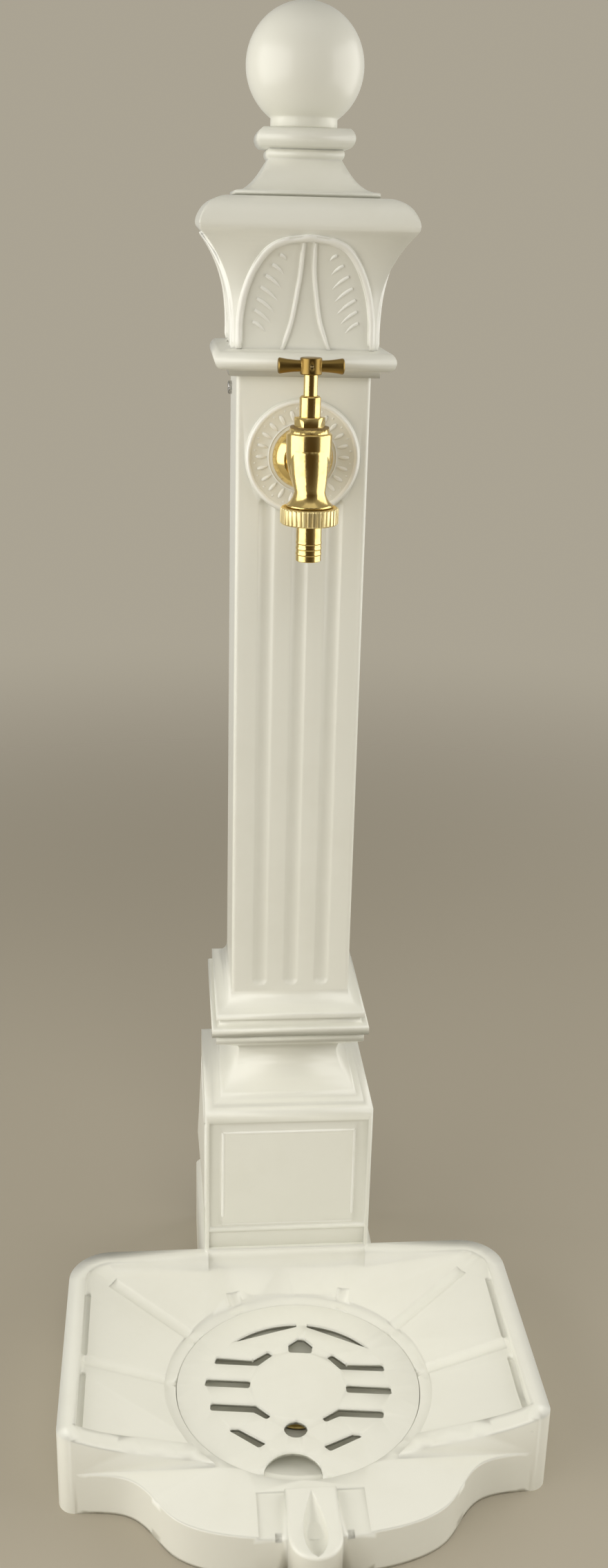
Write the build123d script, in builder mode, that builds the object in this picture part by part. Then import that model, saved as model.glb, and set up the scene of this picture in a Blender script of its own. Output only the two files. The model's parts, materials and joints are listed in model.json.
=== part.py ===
from build123d import *
import math
import os

# Garden standpipe: a square cast column with a bib tap, standing on a dished basin.
# The origin is on the column's axis at floor level, +X to the right, -Y to the front.

# Column sizes
column_wall = 6.0
mould_reach = 110.0
cut_overrun = 2.0
running_gap = 0.05
fit_gap = 0.3
casting_fit = 0.4

# Plinth cast with the basin
plinth_half = 70.0
plinth_height = 66.5
plinth_shoulder_height = 60.3
plinth_corner_radius = 7.0
plinth_lip_height = 2.2
plinth_plate_thickness = 6.5
plinth_access_radius = 36.0

# Pedestal
pedestal_half = 65.5
pedestal_height = 189.7
die_height = 126.5
pedestal_plate_thickness = 8.0
register_height = 5.0
pedestal_step_shares = ((1.0, 0.0), (0.908, 0.012), (0.892, 0.055), (0.82, 0.072), (0.799, 0.135), (0.779, 0.15))
scotia_shares = ((0.779, 0.15), (0.638, 0.36), (0.58, 0.62))
scotia_head_shares = ((0.6, 0.69), (0.87, 0.88), (0.87, 1.0))
panel_recess_depth = 2.5
panel_side_margin = 3.2
panel_top_margin = 9.7
panel_channel_width = 8.0
panel_bevel_width = 3.0
panel_foot_height = 21.8
panel_point_height = 4.5
panel_bead_radius = 2.1
panel_bead_height = 16.8

# Shaft
shaft_half = 45.0
shaft_height = 489.1
shaft_wall = 5.0
shaft_edge_radius = 3.0
foot_plate_half = 60.3
foot_plate_thickness = 7.0
foot_plate_chamfer = 1.2
foot_groove_height = 6.0
foot_groove_depth = 3.0
foot_band_half = 57.0
foot_band_height = 4.2
foot_cove_height = 14.5
flute_count = 3
flute_pitch = 23.5
flute_width = 12.0
flute_depth = 2.4
flute_foot_height = 35.5

# Round medallion behind the tap
rosette_radius = 39.0
rosette_ring_width = 2.8
rosette_height = 3.2
rosette_field_height = 1.4
tap_drop = 52.8
rosette_rise = 0.8

# Capital
capital_half = 70.0
capital_height = 111.4
capital_wall = 6.0
capital_plate_thickness = 8.0
spigot_depth = 30.0
spigot_wall = 5.0
astragal_foot_half = 50.0
astragal_foot_height = 3.5
astragal_half = 59.7
astragal_height = 13.9
astragal_nose_share = 0.25
astragal_edge_share = 0.08
bell_shares = ((0.672, 0.156), (0.667, 0.27), (0.677, 0.374), (0.775, 0.62), (0.985, 0.818))
roll_shares = ((0.985, 0.818), (1.0, 0.85), (0.978, 0.9), (0.915, 0.955), (0.82, 0.99), (0.714, 1.0))
arch_foot_share = 0.08
arch_shares = ((0.652, 0.176), (0.643, 0.333), (0.603, 0.471), (0.516, 0.608), (0.392, 0.722), (0.24, 0.774), (0.0, 0.795))
arch_rim_width = 3.7
arch_rim_relief = 1.9
rib_shares = ((0.053, 0.765), (0.06, 0.62), (0.082, 0.5), (0.135, 0.31), (0.225, 0.15))
rib_width = 2.6
rib_relief_height = 1.4
capital_hollow_share = 0.5

# Cap above the capital
cap_plate_half = 46.4
cap_height = 41.7
cap_plate_thickness = 3.0
cap_cove_shares = ((0.95, 0.083), (0.84, 0.115), (0.696, 0.236), (0.576, 0.413), (0.503, 0.546))
cap_neck_shares = ((0.503, 0.546), (0.536, 0.625), (0.511, 0.7))
cap_collar_shares = ((0.605, 0.715), (0.672, 0.862), (0.6, 1.0))
cap_roof_thickness = 7.6
cap_cavity_foot_half = 34.0
cap_cavity_top_half = 16.0
cap_cavity_height = 22.0

# Ball finial
ball_radius = 38.5
ball_wall = 5.0
ball_ring_radius = 22.0
ball_ring_height = 6.6
ball_ring_round_share = 0.2
ball_sink = 0.3
ball_boss_radius = 9.0
ball_boss_height = 30.0

# Side screws that hold the capital in the shaft
screw_radius = 2.5
screw_length = 13.0
screw_head_radius = 4.6
screw_head_height = 2.6
screw_slot_width = 1.2
screw_slot_depth = 1.1
screw_back = 31.0
screw_drop = 15.3

# Tie rod and floor bracket
tie_rod_radius = 5.0
tie_rod_chamfer = 0.8
tie_rod_hole_radius = 6.0
tie_rod_foot = 1.0
tie_rod_engagement = 24.0
bracket_half_length = 59.0
bracket_front = 7.5
bracket_back = 26.0
bracket_thickness = 4.0
bracket_edge_radius = 4.0
anchor_spacing = 84.0
anchor_hole_radius = 4.5
rod_nut_across_flats = 17.0
rod_nut_thickness = 8.0

# Supply pipe and elbow inside the column
pipe_radius = 10.65
pipe_thread_radius = 10.48
pipe_thread_length = 15.0
pipe_bore_radius = 7.8
pipe_foot = 4.0
pipe_hole_clearance = 1.0
pipe_setback = 21.0
pipe_engagement = 12.0
elbow_radius = 13.4
elbow_flange_radius = 17.0
elbow_flange_thickness = 3.5
elbow_socket_depth = 26.0
elbow_seal_thickness = 1.5

# Tap body
tap_reach = 48.0
tap_inlet_radius = 10.45
tap_inlet_engagement = 9.0
tap_barrel_radius = 11.4
wall_hole_clearance = 0.55
flange_radius = 20.5
flange_length = 13.0
flange_wall = 1.6
flange_lip = 2.4
back_nut_across_flats = 25.0
back_nut_thickness = 4.0
chamber_radius = 14.8
chamber_top = 25.2
chamber_bore_radius = 9.5
chamber_cap_radius = 12.75
chamber_cap_height = 2.7
chamber_edge = 1.2
chamber_shoulder = 10.5
chamber_foot_drop = 13.5
chamber_foot_radius = 9.0
seat_height = 5.0
seat_bore_radius = 6.0
seat_pocket_radius = 5.6
seat_lip = 1.0
seat_rim_width = 0.8
inlet_bore_radius = 5.0
outlet_forward = 13.0
outlet_throat_radius = 10.0
outlet_throat_drop = 13.0
outlet_rim_radius = 15.0
outlet_rim_drop = 21.5
outlet_rim_thickness = 1.2
outlet_thread_radius = 13.1
outlet_bore_radius = 3.6
outlet_bore_lean = 2.4
outlet_bore_rise = 2.5
flare_share = 0.28
bell_bend_share = 0.55
leg_top_radius = 12.8
leg_top_forward = 3.0
leg_mid_radius = 11.3
leg_mid_forward = 9.0

# Tap headwork
headwork_washer_thickness = 1.0
headwork_across_flats = 17.2
headwork_hex_height = 5.9
headwork_shank_length = 10.2
headwork_neck_radius = 5.9
headwork_neck_height = 5.4
headwork_neck_bore_clearance = 0.1
headwork_thread_clearance = 0.05
headwork_thread_headroom = 5.3
gland_nut_radius = 6.85
gland_nut_height = 13.4
gland_nut_chamfer = 1.2
packing_height = 4.8
spindle_radius = 4.5
spindle_thread_radius = 6.0
spindle_thread_length = 8.8
spindle_square_half = 3.0
spindle_top_cover = 1.6
jumper_radius = 7.4
jumper_thickness = 2.4
jumper_stem_radius = 2.5
jumper_stem_length = 10.0
jumper_stud_radius = 2.0
jumper_washer_thickness = 3.0

# Tee handle
handle_bottom_rise = 13.0
handle_hub_height = 10.5
handle_hub_radius = 7.0
handle_length = 42.3
handle_end_radius = 5.0
handle_waist_radius = 3.6
handle_end_round = 1.4
handle_bend_share = 0.65
handle_bend_rise = 0.45
handle_pin_radius = 1.25

# Hose coupling
nut_radius = 18.85
nut_height = 10.7
nut_chamfer = 1.0
nut_floor = 1.3
nut_bore_clearance = 0.1
nut_rim_gap = 0.3
nut_knurl_count = 36
nut_knurl_depth = 0.7
tail_radius = 8.25
tail_bore_radius = 6.0
tail_neck_radius = 8.5
tail_length = 24.2
tail_neck_drop = 0.8
tail_collar_radius = 12.8
tail_collar_thickness = 1.8
tail_mouth_chamfer = 0.5
tail_hole_clearance = 0.3
hose_washer_thickness = 2.0

# Basin
basin_half_width = 172.0
basin_plinth_lap = 8.7
basin_front_margin = 75.0
basin_rim_height = 63.8
basin_rim_width = 12.7
basin_back_corner_radius = 32.0
basin_front_corner_radius = 12.0
basin_wall = 7.0
basin_floor_thickness = 5.5
apron_height = 35.0
apron_margin = 39.5
apron_shares = ((0.93, 0.0), (0.79, 0.03), (0.705, 0.11), (0.625, 0.33), (0.54, 0.64), (0.42, 0.835), (0.24, 0.955), (0.0, 1.0))
border_width = 16.0
border_shares = ((0.942, 1.0), (0.762, 0.61), (0.66, 0.47), (0.39, 0.155), (0.26, 0.03))
grate_radius = 89.5
grate_thickness = 4.0
grate_gap = 0.6
grate_ledge = 7.5
grate_rest_gap = 0.1
grate_drop = 0.3
grate_plinth_gap = 18.5
grate_turn = -7.0
ring_width = 9.0
bowl_floor_height = 14.0
bowl_floor_radius = 25.0
bowl_wall = 8.5
bowl_floor_thickness = 5.0
bowl_bulge_share = 0.35
panel_step = 3.5
ray_foot_shares = ((0.0, 1.0), (0.42, 0.89), (0.84, 0.6), (1.01, 0.09), (0.84, -0.62))
head_near_share = 0.31
head_corner_share = 0.893
head_inset_share = 1.18
head_side_share = 0.06
head_level_shares = (0.77, 0.78, 0.9, 0.9, 0.9)
dish_overreach = 0.35
dish_underreach = 0.25
runnel_length_shares = ((1, 0.34), (2, 0.735), (3, 0.735))
apron_hollow_half = 120.0
apron_hollow_neck = 88.0
apron_hollow_tip = 42.0
groove_radius = 7.0
groove_sink = 2.0
apron_tip_wall = 16.0
slot_width = 4.6
slot_depth = 3.0
slot_shares = ((0.18, 0.56), (0.67, 0.985))

grate_slot_shares = (
    ((0.22, 0.36), (0.275, 0.405), (0.395, 0.298), (0.705, 0.31), (0.72, 0.214), (0.345, 0.214)),
    ((0.39, 0.052), (0.765, 0.052), (0.775, -0.05), (0.4, -0.05)),
    ((0.335, -0.22), (0.705, -0.22), (0.7, -0.32), (0.345, -0.32), (0.235, -0.39), (0.2, -0.34)),
    ((0.215, -0.635), (0.455, -0.487), (0.57, -0.5), (0.28, -0.695)),
)
grate_crescent_shares = ((0.587, 0.48), (0.045, 0.715), (0.045, 1.0), (1.0, 1.0))
grate_crescent_radius = 68.0
grate_gable_shares = ((0.098, 0.392), (0.105, 0.5), (0.025, 0.58))
grate_slot_corner = 2.2
grate_round_radius = 8.5
grate_round_offset = 42.4
grate_mouth_radius = 20.3
grate_mouth_offset = 84.0

# Spout at the front of the basin
spout_half_width = 17.8
spout_ring_gap = 1.5
spout_overhang = 22.0
spout_top = 40.0
spout_nose_thickness = 24.0
spout_groove_half_width = 8.2
spout_groove_lead = 3.0
spout_groove_stop = 1.5
spout_groove_shares = ((0.62, 0.28), (1.0, 0.62), (0.72, 0.87))
spout_edge_radius = 2.5
channel_half_width = 37.0
channel_depth = 1.5
notch_offset = 24.0
notch_width = 4.6
notch_length = 6.0
notch_depth = 4.5

# Waste outlet under the grate
waste_radius = 15.0
waste_bore_radius = 12.0
waste_flange_radius = 22.0
waste_flange_thickness = 2.0
waste_gasket_thickness = 1.0
waste_foot = 1.0
waste_nut_across_flats = 36.0
waste_nut_thickness = 4.5
waste_bar_width = 2.5

# Levels up the column
pedestal_top = plinth_height + pedestal_height
die_top = plinth_height + die_height
shaft_top = pedestal_top + shaft_height
tap_height = shaft_top - tap_drop
capital_top = shaft_top + capital_height
cap_top = capital_top + cap_height
ball_centre = cap_top + ball_ring_height + math.sqrt(ball_radius**2 - ball_ring_radius**2) - ball_sink
pieces = {}


# Points given as shares of a width and a height, above a base level.
def spread(shares, width, height, base=0.0):
    return [(width * across, base + height * up) for across, up in shares]


# Square moulding: a half outline run round the column's four sides with mitred corners.
def square_moulding(outline):
    with BuildPart() as moulding:
        with BuildSketch(Plane.XZ):
            add(outline)
            mirror(about=Plane.YZ)
        extrude(amount=mould_reach, both=True)
        with BuildSketch(Plane.YZ):
            add(outline)
            mirror(about=Plane.YZ)
        extrude(amount=mould_reach, both=True, mode=Mode.INTERSECT)
    return moulding.part


# Half outline of a plain square or tapered core between two levels.
def core_outline(points):
    with BuildSketch() as outline:
        with BuildLine():
            Polyline((0, points[0][1]), *points, (0, points[-1][1]), close=True)
        make_face()
    return outline.sketch


# Upright round bar or hole from a level upwards.
def upright(radius, length, level, mode=Mode.ADD, at=(0, 0)):
    with BuildSketch(Plane((at[0], at[1], level))) as disc:
        Circle(radius)
    extrude(disc.sketch, amount=length, mode=mode)


# Upright hexagon by its width across flats.
def upright_hexagon(across_flats, length, level, at=(0, 0), turn=0.0):
    with BuildSketch(Plane((at[0], at[1], level))) as hexagon:
        RegularPolygon(across_flats / 2, 6, major_radius=False, rotation=turn)
    extrude(hexagon.sketch, amount=length)


def finish(name, part):
    part.label = name
    pieces[name] = part


# Basin: how far its edges lie from the column's axis
ring_radius = grate_radius + ring_width
grate_forward = plinth_half + grate_plinth_gap + ring_radius
basin_back = plinth_half - basin_plinth_lap
basin_front = grate_forward + basin_front_margin
apron_reach = grate_forward + ring_radius + apron_margin

# Inner outline of the rim
inner_half = basin_half_width - basin_rim_width
inner_back = basin_back + basin_rim_width
border_back = basin_front - border_width
inner_depth = border_back - inner_back
tray_depth = basin_front - basin_back
apron_depth = apron_reach - basin_front

with BuildSketch() as tray_outline:
    with Locations((0, -basin_back - tray_depth / 2)):
        Rectangle(2 * basin_half_width, tray_depth)
    fillet(tray_outline.vertices().group_by(Axis.Y)[-1], radius=basin_back_corner_radius)
    fillet(tray_outline.vertices().group_by(Axis.Y)[0], radius=basin_front_corner_radius)

apron_points = [(basin_half_width * across, -basin_front - apron_depth * out) for across, out in apron_shares]
with BuildSketch() as apron_outline:
    with BuildLine():
        Spline(*apron_points, tangents=((-1, 0), (-1, 0)), tangent_scalars=(0.6, 1.0))
        Polyline(apron_points[-1], (0, -border_back), (apron_points[0][0], -border_back), apron_points[0])
    make_face()
    mirror(about=Plane.YZ)

# Dish facets: rays from the ring round the grate out to the rim, one side
grate_centre = (0.0, -grate_forward)
panel_foot = apron_height + panel_step
ray_feet = [(ring_radius * across, ring_radius * back) for across, back in ray_foot_shares]
ray_heads = [
    (0.0, grate_forward - plinth_half),
    (inner_half * head_near_share, grate_forward - plinth_half),
    (inner_half * head_corner_share, grate_forward - inner_back * head_inset_share),
    (inner_half, grate_forward * head_side_share),
    (inner_half, grate_forward - border_back),
]
head_levels = [basin_rim_height * share for share in head_level_shares]
dish_ceiling = basin_rim_height + basin_rim_width


# A ray's end points, carried past the ring and the rim, with their levels.
def ray_ends(foot, head, level):
    inner = Vector(foot[0], foot[1] - grate_forward, panel_foot)
    outer = Vector(head[0], head[1] - grate_forward, level)
    along = outer - inner
    return inner - along * dish_underreach, outer + along * dish_overreach


dish_rays = [ray_ends(*ray) for ray in zip(ray_feet, ray_heads, head_levels)]
mirrored_rays = [tuple(Vector(-end.X, end.Y, end.Z) for end in ray) for ray in dish_rays[1:]]
all_rays = list(reversed(mirrored_rays)) + dish_rays


# Closed solid above the dish facets, up to the ceiling.
def dish_space():
    faces = []
    for (foot_a, head_a), (foot_b, head_b) in zip(all_rays[:-1], all_rays[1:]):
        faces.append(Face(Wire.make_polygon([foot_a, head_a, head_b])))
        faces.append(Face(Wire.make_polygon([foot_a, head_b, foot_b])))
    rim = [foot for foot, head in all_rays[::-1]] + [head for foot, head in all_rays]
    roof = [Vector(point.X, point.Y, dish_ceiling) for point in rim]
    for index, point in enumerate(rim):
        following = (index + 1) % len(rim)
        faces.append(Face(Wire.make_polygon([point, rim[following], roof[following]])))
        faces.append(Face(Wire.make_polygon([point, roof[following], roof[index]])))
    faces.append(Face(Wire.make_polygon(roof)))
    return Solid(Shell(faces))


with BuildPart() as dish:
    with BuildSketch():
        with Locations((0, -inner_back - inner_depth / 2)):
            Rectangle(2 * inner_half, inner_depth)
        fillet(vertices().group_by(Axis.Y)[-1], radius=basin_back_corner_radius - basin_rim_width)
        with Locations((0, -plinth_half)):
            Rectangle(2 * (plinth_half - plinth_corner_radius), 2 * (inner_back - plinth_half) + cut_overrun)
    extrude(amount=dish_ceiling)
    add(dish_space(), mode=Mode.INTERSECT)

# Plinth with rounded corners and a sloped shoulder, and its hollow
plinth_lip_half = pedestal_half + fit_gap
plinth_lip_radius = plinth_corner_radius - plinth_half + plinth_lip_half
with BuildPart() as plinth:
    with BuildSketch():
        RectangleRounded(2 * plinth_half, 2 * plinth_half, plinth_corner_radius)
    extrude(amount=plinth_shoulder_height)
    with BuildSketch(Plane.XY.offset(plinth_shoulder_height)):
        RectangleRounded(2 * plinth_half, 2 * plinth_half, plinth_corner_radius)
    with BuildSketch(Plane.XY.offset(plinth_height - plinth_lip_height)):
        RectangleRounded(2 * plinth_lip_half, 2 * plinth_lip_half, plinth_lip_radius)
    loft()
    with BuildSketch(Plane.XY.offset(plinth_height - plinth_lip_height)):
        RectangleRounded(2 * plinth_lip_half, 2 * plinth_lip_half, plinth_lip_radius)
    extrude(amount=plinth_lip_height)

with BuildPart() as plinth_hollow:
    Box(
        2 * (plinth_half - basin_wall),
        2 * (plinth_half - basin_wall),
        2 * (plinth_height - plinth_plate_thickness),
    )
    with Locations((0, 0, plinth_height)):
        Cylinder(plinth_access_radius, 2 * plinth_height)

# Bowl under the grate: outer shell and inner space, both turned about the grate's axis
seat_radius = grate_radius + grate_gap
ledge_radius = seat_radius - grate_ledge
seat_level = apron_height - grate_drop - grate_thickness - grate_rest_gap
bowl_axis = Axis((0, -grate_forward, 0), (0, 0, 1))
bowl_mid_radius = (ledge_radius + bowl_floor_radius) / 2
bowl_mid_height = bowl_floor_height + bowl_bulge_share * (seat_level - bowl_floor_height)


# Half section of the bowl from its floor up to its mouth, grown by a wall and a floor thickness.
def bowl_section(wall, floor, roof):
    with BuildSketch(Plane.XZ.offset(grate_forward)) as section:
        with BuildLine():
            Polyline(
                (bowl_floor_radius + wall, bowl_floor_height - floor),
                (0, bowl_floor_height - floor),
                (0, roof),
                (ledge_radius + wall, roof),
                (ledge_radius + wall, seat_level - floor),
            )
            ThreePointArc(
                (ledge_radius + wall, seat_level - floor),
                (bowl_mid_radius + wall, bowl_mid_height - floor),
                (bowl_floor_radius + wall, bowl_floor_height - floor),
            )
        make_face()
    return section.sketch


with BuildPart() as bowl_space:
    add(bowl_section(0.0, 0.0, seat_level + cut_overrun))
    revolve(axis=bowl_axis)

with BuildPart() as bowl_shell:
    add(bowl_section(bowl_wall, bowl_floor_thickness, seat_level))
    revolve(axis=bowl_axis)

# Hollow under the dish, one wall inside the tray and one floor thickness below its facets
hollow_roof = apron_height - basin_floor_thickness
with BuildPart() as underside:
    with BuildSketch():
        with Locations((0, -basin_back - tray_depth / 2)):
            Rectangle(2 * (basin_half_width - basin_wall), tray_depth - 2 * basin_wall)
        fillet(vertices().group_by(Axis.Y)[-1], radius=basin_back_corner_radius - basin_wall)
    extrude(amount=basin_rim_height - basin_floor_thickness)
    add(dish_space().moved(Location((0, 0, -basin_floor_thickness))), mode=Mode.SUBTRACT)
    upright(ring_radius + basin_wall, basin_rim_height, hollow_roof, Mode.SUBTRACT, grate_centre)
    with BuildSketch(Plane.XY.offset(hollow_roof)):
        with Locations((0, -border_back)):
            Rectangle(2 * basin_half_width, 2 * (border_width + basin_wall))
    extrude(amount=basin_rim_height, mode=Mode.SUBTRACT)
    with BuildSketch(Plane.XY.offset(hollow_roof)):
        with Locations((0, -basin_back)):
            Rectangle(2 * (plinth_half + basin_wall), 2 * (plinth_half - basin_back) + 2 * basin_wall)
    extrude(amount=basin_rim_height, mode=Mode.SUBTRACT)
    # Space behind the apron's wall
    with BuildSketch():
        with BuildLine():
            Polyline(
                (-apron_hollow_half, -border_back),
                (-apron_hollow_neck, -basin_front - apron_depth / 2),
                (-apron_hollow_tip, -apron_reach + apron_tip_wall),
                (apron_hollow_tip, -apron_reach + apron_tip_wall),
                (apron_hollow_neck, -basin_front - apron_depth / 2),
                (apron_hollow_half, -border_back),
                close=True,
            )
        make_face()
    extrude(amount=hollow_roof)

# Spout: a rounded tongue with a corbelled nose and a leaf-shaped channel
spout_start = grate_forward + ring_radius + spout_ring_gap
spout_reach = apron_reach + spout_overhang
spout_nose_centre = spout_reach - spout_half_width
spout_groove_start = spout_start + spout_groove_lead
spout_groove_end = spout_reach - spout_groove_stop
with BuildPart() as spout:
    with BuildSketch():
        with Locations((0, -(spout_start + spout_nose_centre) / 2)):
            Rectangle(2 * spout_half_width, spout_nose_centre - spout_start)
        with Locations((0, -spout_nose_centre)):
            Circle(spout_half_width)
    extrude(amount=spout_top)
    with BuildSketch(Plane.YZ):
        with BuildLine():
            Polyline(
                (-spout_start + cut_overrun, spout_top),
                (-spout_start + cut_overrun, hollow_roof),
                (-apron_reach + basin_wall, hollow_roof),
                (-apron_reach + basin_wall, 0),
                (-apron_reach, 0),
            )
            Spline(
                (-apron_reach, 0),
                (-(apron_reach + spout_reach) / 2, (spout_top - spout_nose_thickness) / 2),
                (-spout_reach, spout_top - spout_nose_thickness),
            )
            Polyline(
                (-spout_reach, spout_top - spout_nose_thickness),
                (-spout_reach, spout_top),
                (-spout_start + cut_overrun, spout_top),
            )
        make_face()
    extrude(amount=spout_half_width, both=True, mode=Mode.INTERSECT)
    fillet(spout.faces().sort_by(Axis.Z)[-1].edges(), radius=spout_edge_radius)
    with BuildSketch(Plane.XY.offset(spout_top)):
        with BuildLine():
            groove_run = spout_groove_end - spout_groove_start
            groove_side = [
                (spout_groove_half_width * across, -spout_groove_start - groove_run * along)
                for across, along in spout_groove_shares
            ]
            Spline((0, -spout_groove_start), *groove_side, (0, -spout_groove_end))
            Line((0, -spout_groove_end), (0, -spout_groove_start))
        make_face()
    revolve(axis=Axis((0, 0, spout_top), (0, 1, 0)), mode=Mode.SUBTRACT)


# Runnel along a dish crease, from under the ring out to a share of its ray.
def runnel(foot, head, length_share):
    start = foot + Vector(0, 0, groove_radius - groove_sink)
    course = (head - foot) * length_share
    with BuildSketch(Plane(start, z_dir=course)) as bore:
        Circle(groove_radius)
    extrude(bore.sketch, amount=course.length, mode=Mode.SUBTRACT)


# Slots along both side rims, sunk an even depth into the facets
with BuildPart() as side_slots:
    with BuildSketch():
        for start, end in slot_shares:
            with GridLocations(2 * (inner_half - slot_width / 2), 0, 2, 1):
                with Locations((0, -inner_back - inner_depth * (start + end) / 2)):
                    SlotOverall(inner_depth * (end - start), slot_width, rotation=90)
    extrude(amount=dish_ceiling)
    add(dish_space().moved(Location((0, 0, -slot_depth))), mode=Mode.INTERSECT)

with BuildPart() as basin:
    with BuildSketch():
        add(tray_outline.sketch)
    extrude(amount=basin_rim_height)
    with BuildSketch():
        add(apron_outline.sketch)
    extrude(amount=apron_height)
    add(dish.part, mode=Mode.SUBTRACT)
    # Falling top edge of the front border
    with BuildSketch(Plane.XZ.offset(border_back)):
        with BuildLine():
            edge_points = [
                (basin_half_width * across, apron_height + (basin_rim_height - apron_height) * up)
                for across, up in border_shares
            ]
            Spline(*edge_points)
            Polyline(
                edge_points[-1],
                (0, apron_height),
                (0, dish_ceiling),
                (edge_points[0][0], dish_ceiling),
                edge_points[0],
            )
        make_face()
        mirror(about=Plane.YZ)
    extrude(amount=apron_reach, mode=Mode.SUBTRACT)
    # Flat ring round the grate
    upright(ring_radius, dish_ceiling, apron_height, Mode.SUBTRACT, grate_centre)
    for crease, length_share in runnel_length_shares:
        runnel(*dish_rays[crease], length_share)
        runnel(*mirrored_rays[crease - 1], length_share)
    add(side_slots.part, mode=Mode.SUBTRACT)
    # Sunk strips beside the spout, with a notch in each
    with BuildSketch(Plane.XY.offset(apron_height - channel_depth)):
        with Locations((0, -(grate_forward + ring_radius + apron_reach) / 2)):
            Rectangle(2 * channel_half_width, apron_reach - grate_forward - ring_radius)
    extrude(amount=dish_ceiling, mode=Mode.SUBTRACT)
    add(underside.part, mode=Mode.SUBTRACT)
    add(spout.part)
    with BuildSketch(Plane.XY.offset(apron_height - notch_depth)):
        with GridLocations(2 * notch_offset, 0, 2, 1):
            with Locations((0, -apron_reach)):
                Rectangle(notch_width, 2 * notch_length)
    extrude(amount=dish_ceiling, mode=Mode.SUBTRACT)
    # Bowl and seat of the grate
    add(bowl_shell.part)
    add(bowl_space.part, mode=Mode.SUBTRACT)
    upright(seat_radius, dish_ceiling, seat_level, Mode.SUBTRACT, grate_centre)
    upright(waste_radius + fit_gap, bowl_floor_height, 0, Mode.SUBTRACT, grate_centre)
    # Plinth at the back
    add(plinth.part)
    add(plinth_hollow.part, mode=Mode.SUBTRACT)
finish("basin", basin.part)

# Grate: a round plate with cast openings, turned a little in its seat
# One opening of the grate with rounded corners, from shares of the grate's radius.
def grate_opening(shares):
    with BuildSketch() as opening:
        with BuildLine():
            Polyline(*spread(shares, grate_radius, grate_radius), close=True)
        make_face()
        fillet(opening.vertices(), radius=grate_slot_corner)
    return opening.sketch


gable_shares = grate_gable_shares + tuple((-across, up) for across, up in reversed(grate_gable_shares))
with BuildSketch() as openings:
    Circle(grate_crescent_radius)
    with BuildLine():
        Polyline(*spread(grate_crescent_shares, grate_radius, grate_radius), close=True)
    make_face(mode=Mode.INTERSECT)
    for shares in grate_slot_shares:
        add(grate_opening(shares))
    mirror(about=Plane.YZ)
    add(grate_opening(gable_shares))
    with Locations((0, -grate_round_offset)):
        Circle(grate_round_radius)
    with Locations((0, -grate_mouth_offset)):
        Circle(grate_mouth_radius)
    with Locations((0, -grate_radius)):
        Rectangle(2 * grate_mouth_radius, 2 * (grate_radius - grate_mouth_offset))

with BuildPart() as grate:
    with BuildSketch(Plane((0, -grate_forward, apron_height - grate_drop - grate_thickness))):
        Circle(grate_radius)
        add(openings.sketch, rotation=grate_turn, mode=Mode.SUBTRACT)
    extrude(amount=grate_thickness)
finish("grate", grate.part)

# Waste outlet: flanged tail with a cross, gasket above and nut below the bowl's floor
waste_flange_level = bowl_floor_height + waste_gasket_thickness
with BuildPart() as waste_gasket:
    upright(waste_flange_radius - fit_gap, waste_gasket_thickness, bowl_floor_height, at=grate_centre)
    upright(waste_radius + fit_gap, waste_gasket_thickness, bowl_floor_height, Mode.SUBTRACT, grate_centre)
finish("waste_gasket", waste_gasket.part)

with BuildPart() as waste_outlet:
    upright(waste_radius, waste_flange_level - waste_foot, waste_foot, at=grate_centre)
    upright(waste_flange_radius, waste_flange_thickness, waste_flange_level, at=grate_centre)
    fillet(waste_outlet.faces().sort_by(Axis.Z)[-1].edges(), radius=waste_flange_thickness / 2)
    upright(waste_bore_radius, waste_flange_level + basin_wall, 0, Mode.SUBTRACT, grate_centre)
    for turn in (0, 90):
        with BuildSketch(Plane((*grate_centre, waste_flange_level))):
            Rectangle(2 * waste_bore_radius + waste_flange_thickness, waste_bar_width, rotation=turn)
        extrude(amount=waste_flange_thickness / 2)
finish("waste_outlet", waste_outlet.part)

with BuildPart() as waste_nut:
    waste_nut_level = bowl_floor_height - bowl_floor_thickness - waste_nut_thickness
    upright_hexagon(waste_nut_across_flats, waste_nut_thickness, waste_nut_level, grate_centre)
    upright(waste_radius + running_gap, basin_rim_height, 0, Mode.SUBTRACT, grate_centre)
finish("waste_nut", waste_nut.part)

# Pedestal: die with diamond-point panels, two steps, scotia and head
pedestal_cap_height = pedestal_height - die_height
with BuildSketch() as pedestal_outline:
    with BuildLine():
        steps = spread(pedestal_step_shares, pedestal_half, pedestal_cap_height, die_top)
        scotia = spread(scotia_shares, pedestal_half, pedestal_cap_height, die_top)
        head = spread(scotia_head_shares, pedestal_half, pedestal_cap_height, die_top)
        Polyline((0, plinth_height), (pedestal_half, plinth_height), *steps)
        ThreePointArc(*scotia)
        Polyline(scotia[-1], *head, (0, pedestal_top), (0, plinth_height))
    make_face()

panel_half = pedestal_half - panel_side_margin
panel_top = die_top - panel_top_margin
field_half = panel_half - panel_channel_width
field_top = panel_top - (panel_top_margin - panel_side_margin) / 2
field_foot = plinth_height + panel_foot_height
field_centre = (field_top + field_foot) / 2
field_height = field_top - field_foot
panel_floor = pedestal_half - panel_recess_depth

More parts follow.
